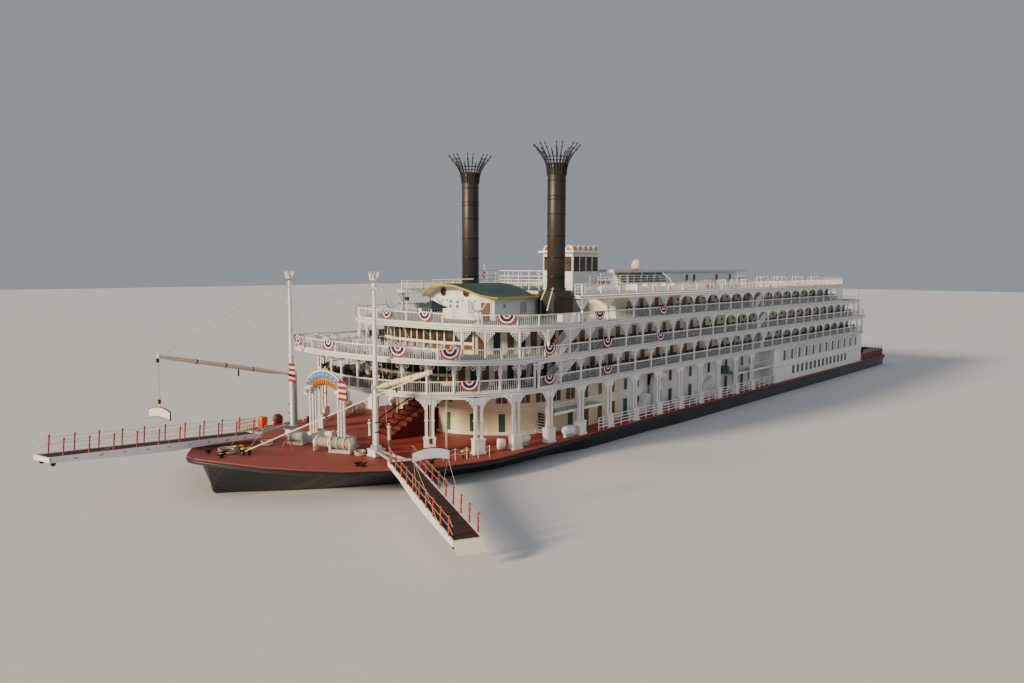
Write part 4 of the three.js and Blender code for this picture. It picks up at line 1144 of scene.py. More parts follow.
def mast_dress():
    """Pedestals, cleats, bands and head fittings of the two masts."""
    piece = Piece("mast_dress", WHITE, GOLD, IRON)
    piece.both = True
    foot = hull_sheer(5.16) + 0.003
    piece.place = move(MAST_X, MAST_Y, 0)
    piece.box(-0.056, 0.056, -0.056, 0.056, foot, foot + 0.012)
    piece.box(-0.054, 0.054, -0.054, 0.054, foot + 0.050, foot + 0.0605)
    for z, r in ((1.20, 0.026), (1.45, 0.024), (1.70, 0.020), (1.85, 0.018)):
        piece.turned([(r - 0.004, -0.008), (r, -0.005), (r, 0.005), (r - 0.004, 0.008)], (0, 0, z), 12)
    piece.box(-0.045, 0.045, -0.004, 0.004, 1.845, 1.853)
    piece.box(-0.004, 0.004, -0.045, 0.045, 1.845, 1.853)
    for i in range(8):
        a = math.pi * i / 4
        c, d = math.cos(a), math.sin(a)
        piece.tube([(0.010 * c, 0.010 * d, 1.90), (0.028 * c, 0.028 * d, 1.925),
                    (0.034 * c, 0.034 * d, 1.958),
                    (0.048 * c, 0.048 * d, 1.985)], (0.006, 0.008, 0.007, 0.003), 5)
    piece.turned([(0, 1.93), (0.010, 1.935), (0.012, 1.945), (0.008, 1.954), (0, 1.957)], (0, 0, 0), 8, 1)
    for z in (0.66, 0.74):
        piece.box(-0.030, 0.030, 0.020, 0.026, z, z + 0.008, 2)
    return piece.done("boat")


ARCH_X = 5.145


def arch_dress():
    """Blue band, gold rims, sunburst and crown of the arch on the foredeck."""
    piece = Piece("arch_dress", BLUE, GOLD, ORANGE, WHITE, YELLOW)

    def at(ry, rz, a):
        return ry * math.cos(a), 0.900 + rz * math.sin(a)

    steps = 28
    for x0, x1 in ((ARCH_X + 0.0095, ARCH_X + 0.019), (ARCH_X - 0.019, ARCH_X - 0.0095)):
        for i in range(steps):
            a, b = math.pi * i / steps, math.pi * (i + 1) / steps
            outline = [at(0.252, 0.166, a), at(0.300, 0.220, a), at(0.300, 0.220, b), at(0.252, 0.166, b)]
            piece.across(outline, x0, x1, 0)
            if i % 2 == 0:
                c = (a + b) / 2
                y, z = at(0.276, 0.193, c)
                piece.block(((x0 + x1) / 2, y, z), (0.014, 0.012, 0.012), 3)
        for ry, rz, slot, thick in ((0.302, 0.222, 3, 0.008), (0.250, 0.164, 1, 0.006)):
            line = [((x0 + x1) / 2, *at(ry, rz, math.pi * i / steps)) for i in range(steps + 1)]
            piece.tube(line, thick, 6, slot)
        for s in (-1, 1):
            piece.block(((x0 + x1) / 2, s * 0.278, 0.895), (0.016, 0.062, 0.014), 3)
    rays = 26
    for i in range(rays):
        a, b = math.pi * (i + 0.1) / rays, math.pi * (i + 0.9) / rays
        outline = [at(0.215, 0.095, (a + b) / 2), at(0.248, 0.162, a), at(0.248, 0.162, b)]
        piece.across(outline, ARCH_X - 0.003, ARCH_X + 0.012, 2 if i % 2 else 4)
    for r in (0.222, 0.238):
        line = [(ARCH_X + 0.012, *at(r, 0.095 + (r - 0.215) * 1.9, math.pi * i / steps))
                for i in range(steps + 1)]
        piece.tube(line, 0.005, 5, 1)
    for y, h in ((0, 0.055), (-0.028, 0.038), (0.028, 0.038), (-0.052, 0.022), (0.052, 0.022)):
        base = 1.116 - abs(y) * 0.12
        piece.turned([(0.004, 0), (0.013, h * 0.35), (0.006, h * 0.8), (0, h)], (ARCH_X, y, base), 8, 1)
    for s in (-1, 1):
        y = s * 0.208
        piece.turned([(0, 0.962), (0.040, 0.966), (0.040, 0.972), (0, 0.975)], (ARCH_X, y, 0), 10, 3)
        foot = hull_sheer(5.185) + 0.003
        piece.box(ARCH_X - 0.044, ARCH_X + 0.044, y - 0.044, y + 0.044, foot, foot + 0.012, 3)
        piece.box(ARCH_X - 0.044, ARCH_X + 0.044, y - 0.044, y + 0.044, foot + 0.078, foot + 0.089, 3)
        for x, dy in ((0.022, 0.0), (-0.022, 0.02), (-0.022, -0.02)):
            for z in (0.62, 0.86):
                piece.turned([(0.013, -0.008), (0.016, 0), (0.013, 0.008)], (ARCH_X + x, y + dy, z), 8, 3)
    return piece.done("boat")


def ring(piece, centre, radius, thick, slot=0, coils=1):
    """A lying coil of rope."""
    path = []
    for i in range(24 * coils + 1):
        a = 2 * math.pi * i / 24
        r = radius * (1 - 0.12 * (i // 24 % 3))
        path.append((centre[0] + r * math.cos(a), centre[1] + r * math.sin(a),
                     centre[2] + thick + 2 * thick * (i / 24) * 0.8))
    piece.tube(path, thick, 5, slot)


def foredeck():
    """Bollards, coils, fences, drums and cleats on the foredeck."""
    piece = Piece("foredeck", IRON, YELLOW, ROPE, ORANGE, GOLD, POST_RED, WHITE, CREAM_LIGHT, GREY, MAROON)

    def z(x):
        return hull_sheer(x + 0.03) + 0.001

    for x, y in ((5.924, 0.06), (5.976, 0.06), (5.924, -0.06), (5.976, -0.06), (4.534, 1.13),
                 (4.586, 1.13)):
        piece.turned([(0.015, 0.05), (0.020, 0.052), (0.020, 0.060), (0.012, 0.063)],
                     (x, y, hull_sheer(x)), 10, 1)
    for x, y in ((6.176, 0.10), (5.445, 0.836), (4.905, 1.096), (6.10, -0.016), (5.43, 0.88), (5.45, -0.84),
                 (6.17, -0.12)):
        base = z(x)
        piece.box(x - 0.022, x + 0.022, y - 0.010, y + 0.010, base, base + 0.006, 0)
        piece.box(x - 0.012, x + 0.012, y - 0.006, y + 0.006, base, base + 0.022, 0)
        piece.box(x - 0.036, x + 0.036, y - 0.006, y + 0.006, base + 0.018, base + 0.028, 0)
    for x, y, r in ((6.03, -0.087, 0.070), (5.165, 0.494, 0.045), (5.55, -0.30, 0.05)):
        ring(piece, (x, y, z(x)), r, 0.0045, 2, 4)
    piece.both = True
    for i in range(7):
        x0 = 4.40 + 0.10 * i
        y = 1.26 - 0.035 * i
        if i < 6:
            base = z(x0)
            piece.tube([(x0, y, base), (x0, y, base + 0.10)], 0.003, 6, 6)
        if i < 5:
            piece.tube([(x0, y, base + 0.095), (x0 + 0.05, y - 0.0175, base + 0.080),
                        (x0 + 0.10, y - 0.035, base + 0.095)], 0.0014, 4, 6)
            piece.tube([(x0, y, base + 0.055), (x0 + 0.05, y - 0.0175, base + 0.042),
                        (x0 + 0.10, y - 0.035, base + 0.055)], 0.0014, 4, 6)
    piece.tube([(4.449, 0.786, MAIN_Z), (4.449, 0.786, 0.905)], 0.010, 8, 6)
    piece.both = False
    arch_line = [(5.58 + 0.03 * math.cos(a), 0.07 - 0.02 * math.cos(a),
                  z(5.58) + 0.045 + 0.05 * math.sin(a))
                 for a in [math.pi * i / 8 for i in range(9)]]
    piece.tube([(5.61, 0.05, z(5.61)), *arch_line, (5.55, 0.09, z(5.55))], 0.006, 6, 5)
    for x, y, turn, slot in ((5.03, -0.14, 0.3, 6), (5.30, -0.22, 0.5, 8), (5.03, 0.16, -0.2, 8)):
        piece.place = move(x, y, z(x)) @ spin(turn, "Z")
        piece.box(-0.06, 0.06, -0.08, 0.08, 0, 0.02, slot)
        for side in (-0.07, 0.062):
            piece.box(-0.045, 0.045, side, side + 0.008, 0.01, 0.10, slot)
        piece.place = piece.place @ move(0, 0, 0.062) @ spin(math.pi / 2, "X")
        piece.turned([(0.020, -0.062), (0.050, -0.060), (0.050, -0.054), (0.036, -0.050), (0.036, 0.050),
                      (0.050, 0.054),
                      (0.050, 0.060), (0.020, 0.062)], (0, 0, 0), 14, slot)
    piece.place = move(4.91, -1.16, z(4.91)) @ spin(-0.35, "Z")
    piece.box(-0.05, 0.05, -0.03, 0.03, 0, 0.02, 5)
    piece.place = piece.place @ move(0, 0, 0.06) @ spin(math.pi / 2, "X")
    piece.turned([(0.02, -0.03), (0.05, -0.028), (0.05, -0.022), (0.03, -0.02), (0.03, 0.02), (0.05, 0.022),
                  (0.05, 0.028), (0.02, 0.03)], (0, 0, 0), 14, 9)
    piece.place = Matrix.Identity(4)
    for i in range(9):
        x, y = 5.40 - 0.028 * i, -1.05 - 0.010 * i
        piece.tube([(x, y, z(x)), (x, y, z(x) + 0.10)], 0.003, 5, 3 if i < 3 else 4)
    for lift in (0.03, 0.065, 0.10):
        piece.tube([(5.40, -1.05, z(5.40) + lift), (5.176, -1.13, z(5.18) + lift)], 0.0035, 5, 4)
    piece.box(5.10, 5.16, -1.12, -1.04, z(5.16), z(5.16) + 0.11, 3)
    return piece.done("boat")


# Texas house, its ogee roof, the hut and what stands round them

OGEE = [(0, 1.855), (0.15, 1.845), (0.28, 1.81), (0.40, 1.762), (0.49, 1.735), (0.54, 1.730)]
ROOF_EDGE = [(3.742, 0), (3.715, 0.25), (3.64, 0.42), (3.52, 0.538)]
ROOF_AFT = 2.88
TEXAS_WALL = [(3.59, 0.0), (3.56, 0.30), (3.48, 0.46), (2.44, 0.46)]


def table_value(table, at):
    """Straight-line value of a table of pairs, with mirrored input."""
    at = abs(at)
    for (a, va), (b, vb) in zip(table, table[1:]):
        if at <= b:
            return va + (vb - va) * (at - a) / (b - a)
    return table[-1][1]


def roof_z(y):
    return table_value(OGEE, y)


def roof_front(y):
    return table_value([(b, a) for a, b in ROOF_EDGE], y)


def texas_roof():
    """The shell of the roof over a white gable that stands back under its front edge."""
    piece = Piece("texas_roof_shell", ROOF, WHITE, YELLOW, CREAM_LIGHT)
    ys = [-0.54 + 0.03 * i for i in range(37)]
    for a, b in zip(ys, ys[1:]):
        za, zb, xa, xb = roof_z(a), roof_z(b), roof_front(a), roof_front(b)
        top = [(ROOF_AFT, a, za), (xa, a, za), (xb, b, zb), (ROOF_AFT, b, zb)]
        low = [(x, y, z - 0.018) for x, y, z in top]
        piece.mesh(top, [(0, 1, 2, 3)])
        piece.mesh(low, [(3, 2, 1, 0)], 3)
        piece.mesh([top[1], low[1], low[2], top[2]], [(0, 1, 2, 3)], 2)
        piece.mesh([top[0], top[3], low[3], low[0]], [(0, 1, 2, 3)])
        piece.mesh([(ROOF_AFT, a, za - 0.018), (ROOF_AFT, b, zb - 0.018), (ROOF_AFT, b, 1.708),
                    (ROOF_AFT, a, 1.708)], [(0, 1, 2, 3)], 1)
    for y in (-0.54, 0.54):
        z, x = roof_z(y), roof_front(y)
        piece.mesh([(ROOF_AFT, y, z), (x, y, z), (x, y, z - 0.018), (ROOF_AFT, y, z - 0.018)],
                   [(0, 1, 2, 3)], 2)
        piece.tube([(ROOF_AFT, y, z - 0.008), (x, y, z - 0.008)], 0.006, 5, 2)
    edge = [(roof_front(y) + 0.001, y, roof_z(y) - 0.006) for y in ys]
    piece.tube(edge, 0.0085, 6, 2)
    piece.both = True
    for a, b in zip(TEXAS_WALL, TEXAS_WALL[1:]):
        count = 8
        for i in range(count):
            p = [tuple(a[k] + (b[k] - a[k]) * t / count for k in (0, 1)) for t in (i, i + 1)]
            high = [min(roof_z(y) - 0.017, 1.84) for _, y in p]
            piece.mesh([(*p[0], 1.7072), (*p[1], 1.7072), (*p[1], high[1]), (*p[0], high[0])],
                       [(0, 1, 2, 3)], 1)
    piece.both = False
    for i in range(16):
        x = 2.91 + 0.0525 * i
        path = [(x, y, roof_z(y) + 0.001) for y in ys if roof_front(y) > x + 0.01]
        piece.tube(path, 0.0028, 4, 0, False)
    piece.tube([(ROOF_AFT, 0, 1.857), (3.735, 0, 1.857)], 0.004, 5)
    obj = piece.done("boat")
    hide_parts("texas_roof")


def window(piece, place, width, height, frame=0, glass=1, rim=0.006):
    old = piece.place
    piece.place = old @ place
    w = width / 2
    piece.box(-w - rim, w + rim, -0.002, 0.003, -rim, height + rim, frame)
    piece.box(-w, w, -0.002, 0.0045, 0, height, glass)
    piece.box(-0.0015, 0.0015, -0.002, 0.006, 0, height, frame)
    piece.place = old


def round_window(piece, place, radius, frame=0, glass=1):
    old = piece.place
    piece.place = old @ place @ spin(-math.pi / 2, "X")
    piece.turned([(0, 0.001), (radius, 0.001), (radius, 0.006), (radius * 0.8, 0.008),
                  (radius * 0.8, 0.004), (0, 0.004)], (0, 0, 0), 20, frame, False)
    piece.turned([(0, 0.0035), (radius * 0.8, 0.0035), (radius * 0.8, 0.0048), (0, 0.0048)],
                 (0, 0, 0), 20, glass, False)
    piece.box(-radius * 0.8, radius * 0.8, -0.002, 0.002, 0.004, 0.0065, frame)
    piece.place = old


def texas_dress():
    piece = Piece("texas_dress", WHITE, GLASS, WOOD, GREY, IRON, AMBER, CREAM_LIGHT)
    floor = DECK[4]
    piece.both = True
    front = wall((3.591, 0), (3.561, 0.30))
    length = math.hypot(0.03, 0.30)

    def on_front(y, z):
        return front @ move(length - y, 0, z)

    round_window(piece, on_front(0.165, 1.772), 0.044, 2, 1)
    window(piece, on_front(0.225, floor + 0.03), 0.075, 0.155, 0, 3)
    window(piece, on_front(0.05, floor + 0.115), 0.028, 0.032)
    window(piece, on_front(0.05, floor + 0.165), 0.028, 0.032)
    piece.place = front
    piece.box(0, length, -0.002, 0.006, floor + 0.001, floor + 0.02, 0)
    piece.box(0, length, -0.002, 0.005, 1.702, 1.712, 0)
    for y in (0.05, 0.11, 0.19, 0.27):
        piece.place = on_front(y, 1.700)
        piece.side([(-0.014, 0), (0.014, 0), (0.010, -0.012), (0, -0.026), (-0.010, -0.012)], 0.003, 0.012)
    corner = wall((3.561, 0.30), (3.481, 0.46))
    piece.place = Matrix.Identity(4)
    door(piece, corner @ move(0.09, 0, floor), 0.095, 0.175)
    piece.place = corner
    piece.box(0.045, 0.135, -0.002, 0.0052, floor + 0.004, floor + 0.17, 2)
    piece.place = Matrix.Identity(4)
    for x, width in ((3.34, 0.05), (3.05, 0.10), (2.70, 0.10)):
        place = facing((x, 0.461), (-1, 0), floor) @ spin(math.pi, "Z")
        if width < 0.06:
            round_window(piece, place @ move(0, 0, 0.14), 0.022)
        else:
            window(piece, place @ move(0, 0, 0.06), width, 0.11, 0, 3)
    piece.box(2.44, 3.48, 0.459, 0.466, floor + 0.001, floor + 0.018, 0)
    return piece.done("boat")


def deck_hut_dress():
    piece = Piece("deck_hut_dress", ROOF, GLASS, WHITE)
    x, y, top = 4.118, 0.25, DECK[4] + 0.141
    skin = [(0, 0.0), (0.146, 0.0), (0.146, 0.0095), (0.061, 0.0435), (0.015, 0.0715), (0, 0.074)]
    piece.turned(skin, (x, y, top), 4, 0, False, math.pi / 4)
    piece.turned([(0.004, 0.07), (0.004, 0.09), (0.008, 0.095), (0, 0.103)], (x, y, top), 6, 2)
    for dx, dy in ((1, 0), (0, 1), (-1, 0), (0, -1)):
        for k in (-0.048, -0.016, 0.016, 0.048):
            cx, cy = x + 0.072 * dx + k * abs(dy), y + 0.072 * dy + k * abs(dx)
            piece.block((cx, cy, top - 0.020), (0.024 if dy else 0.006, 0.024 if dx else 0.006, 0.022), 1)
    return piece.done("boat")


def life_ring(piece, place, slot, radius=0.024):
    old = piece.place
    piece.place = old @ place @ spin(-math.pi / 2, "X")
    path = [(radius * math.cos(math.pi * i / 8), radius * math.sin(math.pi * i / 8), 0) for i in range(17)]
    piece.tube(path, 0.007, 6, slot, False)
    piece.place = old


def upper_gear():
    """Cradles, poles, chests, fences and rings on decks 4 and 5."""
    piece = Piece("upper_gear", WHITE, ORANGE, IRON, GREY, GOLD, CREAM_LIGHT)
    floor = DECK[4]
    for y in (0.659, -0.659):
        piece.tube([(3.905, y, floor), (3.905, y * 0.98, floor + 0.11)], 0.013, 8)
        for x, top in ((3.98, 0.195), (3.76, 0.190)):
            piece.tube([(3.905, y * 0.98, floor + 0.11), ((3.905 + x) / 2, y * 0.95, floor + 0.125),
                        (x, y * 0.94, floor + top)], (0.012, 0.010, 0.007), 6)
        piece.box(3.88, 3.93, y - 0.03, y + 0.03, floor, floor + 0.012)
    piece.tube([(4.10, -0.13, floor), (4.10, -0.13, floor + 0.28)], 0.005, 6)
    piece.turned([(0, 0.0), (0.008, 0.004), (0.010, 0.012), (0, 0.020)], (4.10, -0.13, floor + 0.28), 8, 4)
    piece.box(4.085, 4.115, -0.15, -0.11, floor + 0.20, floor + 0.235, 2)
    piece.both = True
    for x0, x1, depth in ((2.98, 3.14, 0.06), (2.76, 2.92, 0.06)):
        piece.box(x0, x1, 0.98, 0.98 + depth, floor, floor + 0.07)
        piece.box(x0 + 0.004, x1 - 0.004, 0.984, 0.976 + depth, floor + 0.07, floor + 0.078)
    for x, y, z in ((3.42, 1.19, DECK[3] + 0.13), (2.05, WALL_Y + 0.012, floor + 0.14),
                    (1.25, WALL_Y + 0.012, floor + 0.14), (3.35, 1.08, MAIN_Z + 0.16)):
        life_ring(piece, move(x, y, z), 1)
    piece.both = False
    deck = DECK[5]
    rails = ((2.413, -0.8, 1.152, -0.8), (2.42, -0.46, 2.42, 0.46))
    for x0, y0, x1, y1 in rails:
        for z in (1.852, 1.886, 1.925, 1.985):
            piece.tube([(x0, y0, z), (x1, y1, z)], 0.006, 6)
        n = round(math.hypot(x1 - x0, y1 - y0) / 0.16)
        for i in range(n + 1):
            x, y = x0 + (x1 - x0) * i / n, y0 + (y1 - y0) * i / n
            piece.tube([(x, y, deck), (x, y, 1.985)], 0.005, 5)
    life_ring(piece, move(2.32, -0.786, 1.935), 1, 0.028)
    piece.tube([(2.30, -0.80, 1.985), (2.30, -0.80, 2.04)], 0.003, 5)
    piece.turned([(0, 0.0), (0.011, 0.006), (0.012, 0.014), (0, 0.024)], (2.30, -0.80, 2.035), 10)
    piece.tube([(3.30, -0.30, 1.83), (3.30, -0.30, 1.895)], 0.004, 5)
    piece.tube([(3.42, -0.50, 1.89), (3.20, -0.10, 1.90)], 0.004, 6)
    piece.turned([(0, -0.014), (0.014, -0.006), (0.014, 0.006), (0, 0.014)], (3.30, -0.30, 1.865), 10)
    piece.place = move(2.30, 0.98, deck + 0.045) @ spin(math.pi / 2, "Y")
    piece.turned([(0, -0.13), (0.022, -0.125), (0.035, -0.10), (0.035, 0.10), (0.022, 0.125), (0, 0.13)],
                 (0, 0, 0), 14)
    piece.place = Matrix.Identity(4)
    for i in range(6):
        x = 1.25 - 0.21 * i
        piece.box(x - 0.05, x + 0.05, 0.55, 0.72, deck, deck + 0.075, 5 if i % 2 else 0)
    for x in (1.36, 1.05, 0.74, 0.43):
        for y in (-0.42, 0.42):
            piece.tube([(x, y, deck), (x, y, 1.967)], 0.007, 8)
    life_ring(piece, move(0.72, 1.285, deck + 0.06), 1, 0.026)
    piece.tube([(0.30, 0.44, 1.97), (0.36, 0.60, 1.88), (0.40, 0.66, 1.80)], 0.008, 6)
    return piece.done("boat")


def sun_deck():
    """Doors of the house, white chairs and loungers on the sun deck and on the front of deck 3."""
    piece = Piece("sun_deck", WHITE, GREEN, WOOD, GLASS)
    deck = DECK[5]
    piece.both = True
    for x, slot in ((-0.42, 1), (-0.62, 1), (-1.28, 1), (-1.70, 1)):
        piece.box(x - 0.032, x + 0.032, 0.398, 0.405, deck + 0.004, deck + 0.17, slot)
        piece.box(x - 0.040, x + 0.040, 0.398, 0.403, deck + 0.004, deck + 0.178, 0)
    for i in range(26):
        x = 0.95 - 0.11 * i
        chair(piece, move(x, 1.10 + 0.03 * math.sin(5 * i), deck) @ spin(math.sin(3 * i) * 0.8, "Z"))
    for row in range(3):
        for i in range(15):
            x = -2.25 - 0.105 * i
            y = 0.25 + 0.33 * row
            piece.place = move(x, y, deck) @ spin(0.2 * math.sin(i + row), "Z")
            piece.box(-0.035, 0.035, -0.10, 0.06, 0.045, 0.055)
            piece.box(-0.035, 0.035, 0.055, 0.065, 0.05, 0.13)
            for a, b in ((-0.03, -0.09), (0.03, -0.09), (-0.03, 0.05), (0.03, 0.05)):
                piece.box(a - 0.003, a + 0.003, b - 0.003, b + 0.003, 0.001, 0.05)
    piece.place = Matrix.Identity(4)
    for row in range(4):
        for i in range(11 - row):
            x, y = 4.90 - 0.13 * row - 0.055 * (i / 4) ** 2, 0.06 + 0.095 * i
            if x < table_value([(b, a) for a, b in HOUSE_FRONTS[3]], y) + 0.08:
                continue
            turn = spin(math.radians(200 + 30 * math.sin(5 * i + row)), "Z")
            chair(piece, move(x, y, floor_at(3, x)) @ turn)
    return piece.done("boat")


def pilothouse_dress():
    piece = Piece("pilothouse_dress", WHITE, GOLD, GLASS_WARM, YELLOW)
    low, high = DECK[5] + 0.2153, 2.15
    for x in (1.396, 1.894):
        piece.box(x - 0.0015, x + 0.0015, -0.206, 0.206, low, high, 2)
    for y in (-0.214, 0.214):
        piece.box(1.404, 1.886, y - 0.0015, y + 0.0015, low, high, 2)
    for y in (-0.2205, 0.2205):
        for k in range(5):
            x = 1.40 + 0.1225 * k
            piece.box(x - 0.004, x + 0.004, y - 0.003, y + 0.003, low - 0.01, high + 0.01)
        piece.box(1.388, 1.902, y - 0.004, y + 0.004, low - 0.018, low - 0.008)
        piece.box(1.388, 1.902, y - 0.002, y + 0.002, low - 0.10, low - 0.092)
    for k in range(5):
        y = -0.21 + 0.105 * k
        piece.box(1.898, 1.904, y - 0.004, y + 0.004, low - 0.01, high + 0.01)
    piece.box(1.898, 1.905, -0.224, 0.224, low - 0.018, low - 0.008)
    for x0, x1, y0, y1 in ((1.346, 1.944, 0.258, 0.264), (1.346, 1.944, -0.264, -0.258),
                           (1.938, 1.944, -0.26, 0.26)):
        piece.box(x0, x1, y0, y1, 2.196, 2.206, 0)
    for k in range(4):
        y = -0.165 + 0.11 * k
        piece.place = move(1.900, y, 2.238) @ spin(math.pi / 2, "Y")
        piece.turned([(0, 0), (0.030, 0), (0.030, 0.003), (0.022, 0.004), (0, 0.004)], (0, 0, 0), 14, 1)
        piece.place = Matrix.Identity(4)
    for side in (1, -1):
        for k in range(5):
            x = 1.441 + 0.102 * k
            piece.place = move(x, side * 0.210, 2.238) @ spin(-side * math.pi / 2, "X")
            piece.turned([(0, 0), (0.028, 0), (0.028, 0.003), (0, 0.003)], (0, 0, 0), 14, 1)
            piece.place = Matrix.Identity(4)
    return piece.done("boat")


STACK_X, STACK_Y = 2.718, 0.624
STACK_FLANGES = (1.93, 2.13, 2.35, 2.57, 2.72, 2.755, 2.91)
# radius and height up the outside of a stack, over its lip and down the inside
STACK_TUBE = [(0.104, 1.79), (0.104, 1.814), (0.095, 1.814), (0.095, 2.96), (0.099, 3.03), (0.108, 3.075),
              (0.104, 3.078), (0.094, 3.03), (0.088, 2.96), (0.088, 2.60), (0, 2.60)]
# radius and height along a rib of the crown, and the rib's thickness there
CROWN_RIB = [(0.097, 2.965), (0.102, 3.03), (0.116, 3.09), (0.142, 3.145), (0.176, 3.195), (0.212, 3.24),
             (0.246, 3.281)]
RIB_RADII = [0.0062, 0.0068, 0.0068, 0.0060, 0.0050, 0.0040, 0.0026]
RIBS, SHORT_RIB = 24, 5
# radius, height and size of the diamonds on long and short ribs
LONG_MARKS = ((0.200, 3.226, 0.013), (0.232, 3.264, 0.011))
SHORT_MARKS = ((0.160, 3.172, 0.010),)
# radius and height of the hoops that tie the ribs
CROWN_HOOPS = ((0.112, 3.078), (0.140, 3.142))


def stack_shell(side):
    """One stack: flanged tube, flared lip and a crown of curved ribs with diamonds."""
    piece = Piece(f"stack_{side}_shell", STACK, IRON)
    y = STACK_Y if side == "port" else -STACK_Y
    spot = (STACK_X, y, 0)

    def at(r, a, z):
        return STACK_X + r * math.cos(a), y + r * math.sin(a), z

    piece.turned(STACK_TUBE, spot, 32)
    for z in STACK_FLANGES:
        rim = [(0.094, z - 0.006), (0.100, z - 0.004), (0.100, z + 0.004), (0.094, z + 0.006)]
        piece.turned(rim, spot, 32, 1)
    for i in range(RIBS):
        a = 2 * math.pi * (i + 0.5) / RIBS
        whole = i % 3 != 1
        count = len(CROWN_RIB) if whole else SHORT_RIB
        piece.tube([at(r, a, z) for r, z in CROWN_RIB[:count]], RIB_RADII[:count], 6, 1)
        for r, z, wide in LONG_MARKS if whole else SHORT_MARKS:
            piece.turned([(0, -wide), (wide * 0.85, 0), (0, wide)], at(r, a, z), 6, 1, False)
    for r, z in CROWN_HOOPS:
        piece.tube([at(r, math.pi * i / 16, z) for i in range(33)], 0.004, 5, 1, False)
    obj = piece.done(f"stack_{side}")
    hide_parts(f"stack_{side}")


STRUT_Y = 0.74
# low end, high end and the end on the casing, in x and z, of the struts beside a stack
STRUTS = (((3.10, 1.70), (3.02, 1.818), (2.80, 1.76)), ((3.005, 1.587), (2.91, 1.816), (2.76, 1.76)))


def stack_base_dress():
    piece = Piece("stack_base_dress", IRON, CREAM_LIGHT, STACK)
    piece.both = True
    collar = [(0.10, 1.70), (0.135, 1.702), (0.135, 1.712), (0.100, 1.716)]
    piece.turned(collar, (STACK_X, STACK_Y, 0), 20)
    for z in (1.56, 1.63):
        piece.box(2.556, 2.884, 0.515, 0.733, z - 0.004, z + 0.004)
    piece.box(2.57, 2.87, 0.50, 0.735, 1.70, 1.735)
    piece.box(2.60, 2.86, 0.505, 0.73, 1.735, 1.786)
    for low, high, _ in STRUTS:
        piece.tube([(low[0], STRUT_Y, low[1]), (high[0], STRUT_Y, high[1])], 0.006, 6, 1)
    for low, _, _ in STRUTS:
        piece.tube([(low[0], STRUT_Y, low[1]), (low[0], STRUT_Y, DECK[4])], 0.006, 6, 0)
    for _, high, end in STRUTS:
        piece.tube([(high[0], STRUT_Y, high[1]), (end[0], 0.70, end[1])], 0.006, 6, 0)
    return piece.done("boat")


def boom_dress(side):
    """The thick middle of a boom, with bands."""
    piece = Piece(f"boom_{side}_sleeve", BOOM, IRON)
    heel, tip = boom_tip(side, BOOM_LENGTH - 0.12), boom_tip(side, 0.06)
    thick = (0.016, 0.023, 0.023, 0.016) if side == "port" else (0.015, 0.019, 0.018, 0.015)
    piece.tube([heel.lerp(tip, t) for t in (0, 0.08, 0.75, 1)], thick, 12)
    for t in (0.25, 0.50, 0.75):
        a, b = heel.lerp(tip, t - 0.004), heel.lerp(tip, t + 0.004)
        piece.tube([a, b], thick[1] + 0.002, 12, 1)
    return piece.done(f"boom_{side}")


def crowded_decks():
    """Dark chairs and tables on the front of deck 2, panels on the sun deck, and ends of the galleries."""
    piece = Piece("crowded_decks", CHAIR, WHITE, CREAM_LIGHT)
    piece.both = True
    for row in range(3):
        for i in range(9 - row):
            x, y = 4.82 - 0.11 * row - 0.06 * (i / 4) ** 2, 0.05 + 0.095 * i
            if x < table_value([(b, a) for a, b in HOUSE_FRONTS[2]], y) + 0.06:
                continue
            turn = spin(math.radians(160 + 60 * math.sin(4 * i + row)), "Z")
            chair(piece, move(x, y, DECK[2]) @ turn)
            if i % 3 == 1:
                piece.turned([(0.004, 0.001), (0.004, 0.066), (0.030, 0.068), (0.030, 0.072)],
                             (x, y + 0.05, DECK[2]), 10)
    deck, aft, fore, rail_y, rail_top = DECK[5], 0.14, 1.95, 0.50, 0.17
    piece.box(aft, 1.36, 0.47, 0.478, deck, deck + 0.085, 1)
    for lift in (0.11, 0.14, rail_top):
        piece.tube([(fore, rail_y, deck + lift), (aft, rail_y, deck + lift)], 0.004, 5, 1)
    for i in range(13):
        x = aft + 0.15 * i
        piece.tube([(x, rail_y, deck), (x, rail_y, deck + rail_top)], 0.004, 5, 1)
    piece.box(-3.868, -3.64, 1.289, 1.303, DECK[4] + 0.11, DECK[5] - SLAB, 1)
    return piece.done("boat")


def windlass_dress():
    """Rope wound on the drum of the windlass, and its cheek plates."""
    piece = Piece("windlass_dress", ROPE, IRON, CREAM_LIGHT)
    base = hull_sheer(5.29) + 0.079
    turn = move(5.226, 0.335, base) @ spin(math.radians(25.3), "Z") @ spin(math.pi / 2, "X")
    piece.place = turn
    for y0, y1 in ((-0.078, -0.044), (-0.022, 0.022), (0.044, 0.078)):
        n = 6
        for i in range(n):
            z = y0 + (y1 - y0) * (i + 0.5) / n
            h = (y1 - y0) / n / 2
            piece.turned([(0.042, z - h), (0.0475, z - h * 0.4), (0.0475, z + h * 0.4), (0.042, z + h)],
                         (0, 0, 0), 18)
    for z, r in ((0.108, 0.052), (0.232, 0.052)):
        piece.turned([(0, z - 0.005), (r, z - 0.005), (r, z + 0.005), (0, z + 0.005)],
                     (0, 0, 0), 18, 2, False)
    for i in range(9):
        z = 0.114 + 0.0135 * i
        piece.turned([(0.036, z), (0.042, z + 0.003), (0.042, z + 0.010), (0.036, z + 0.0135)],
                     (0, 0, 0), 18)
    for z in (0.098, 0.246):
        piece.box(-0.045, 0.045, -0.078, 0.02, z - 0.005, z + 0.005, 2)
    piece.turned([(0.0, 0.090), (0.050, 0.092), (0.050, 0.100), (0, 0.102)], (0, 0, -0.19), 18, 2)
    return piece.done("boat")


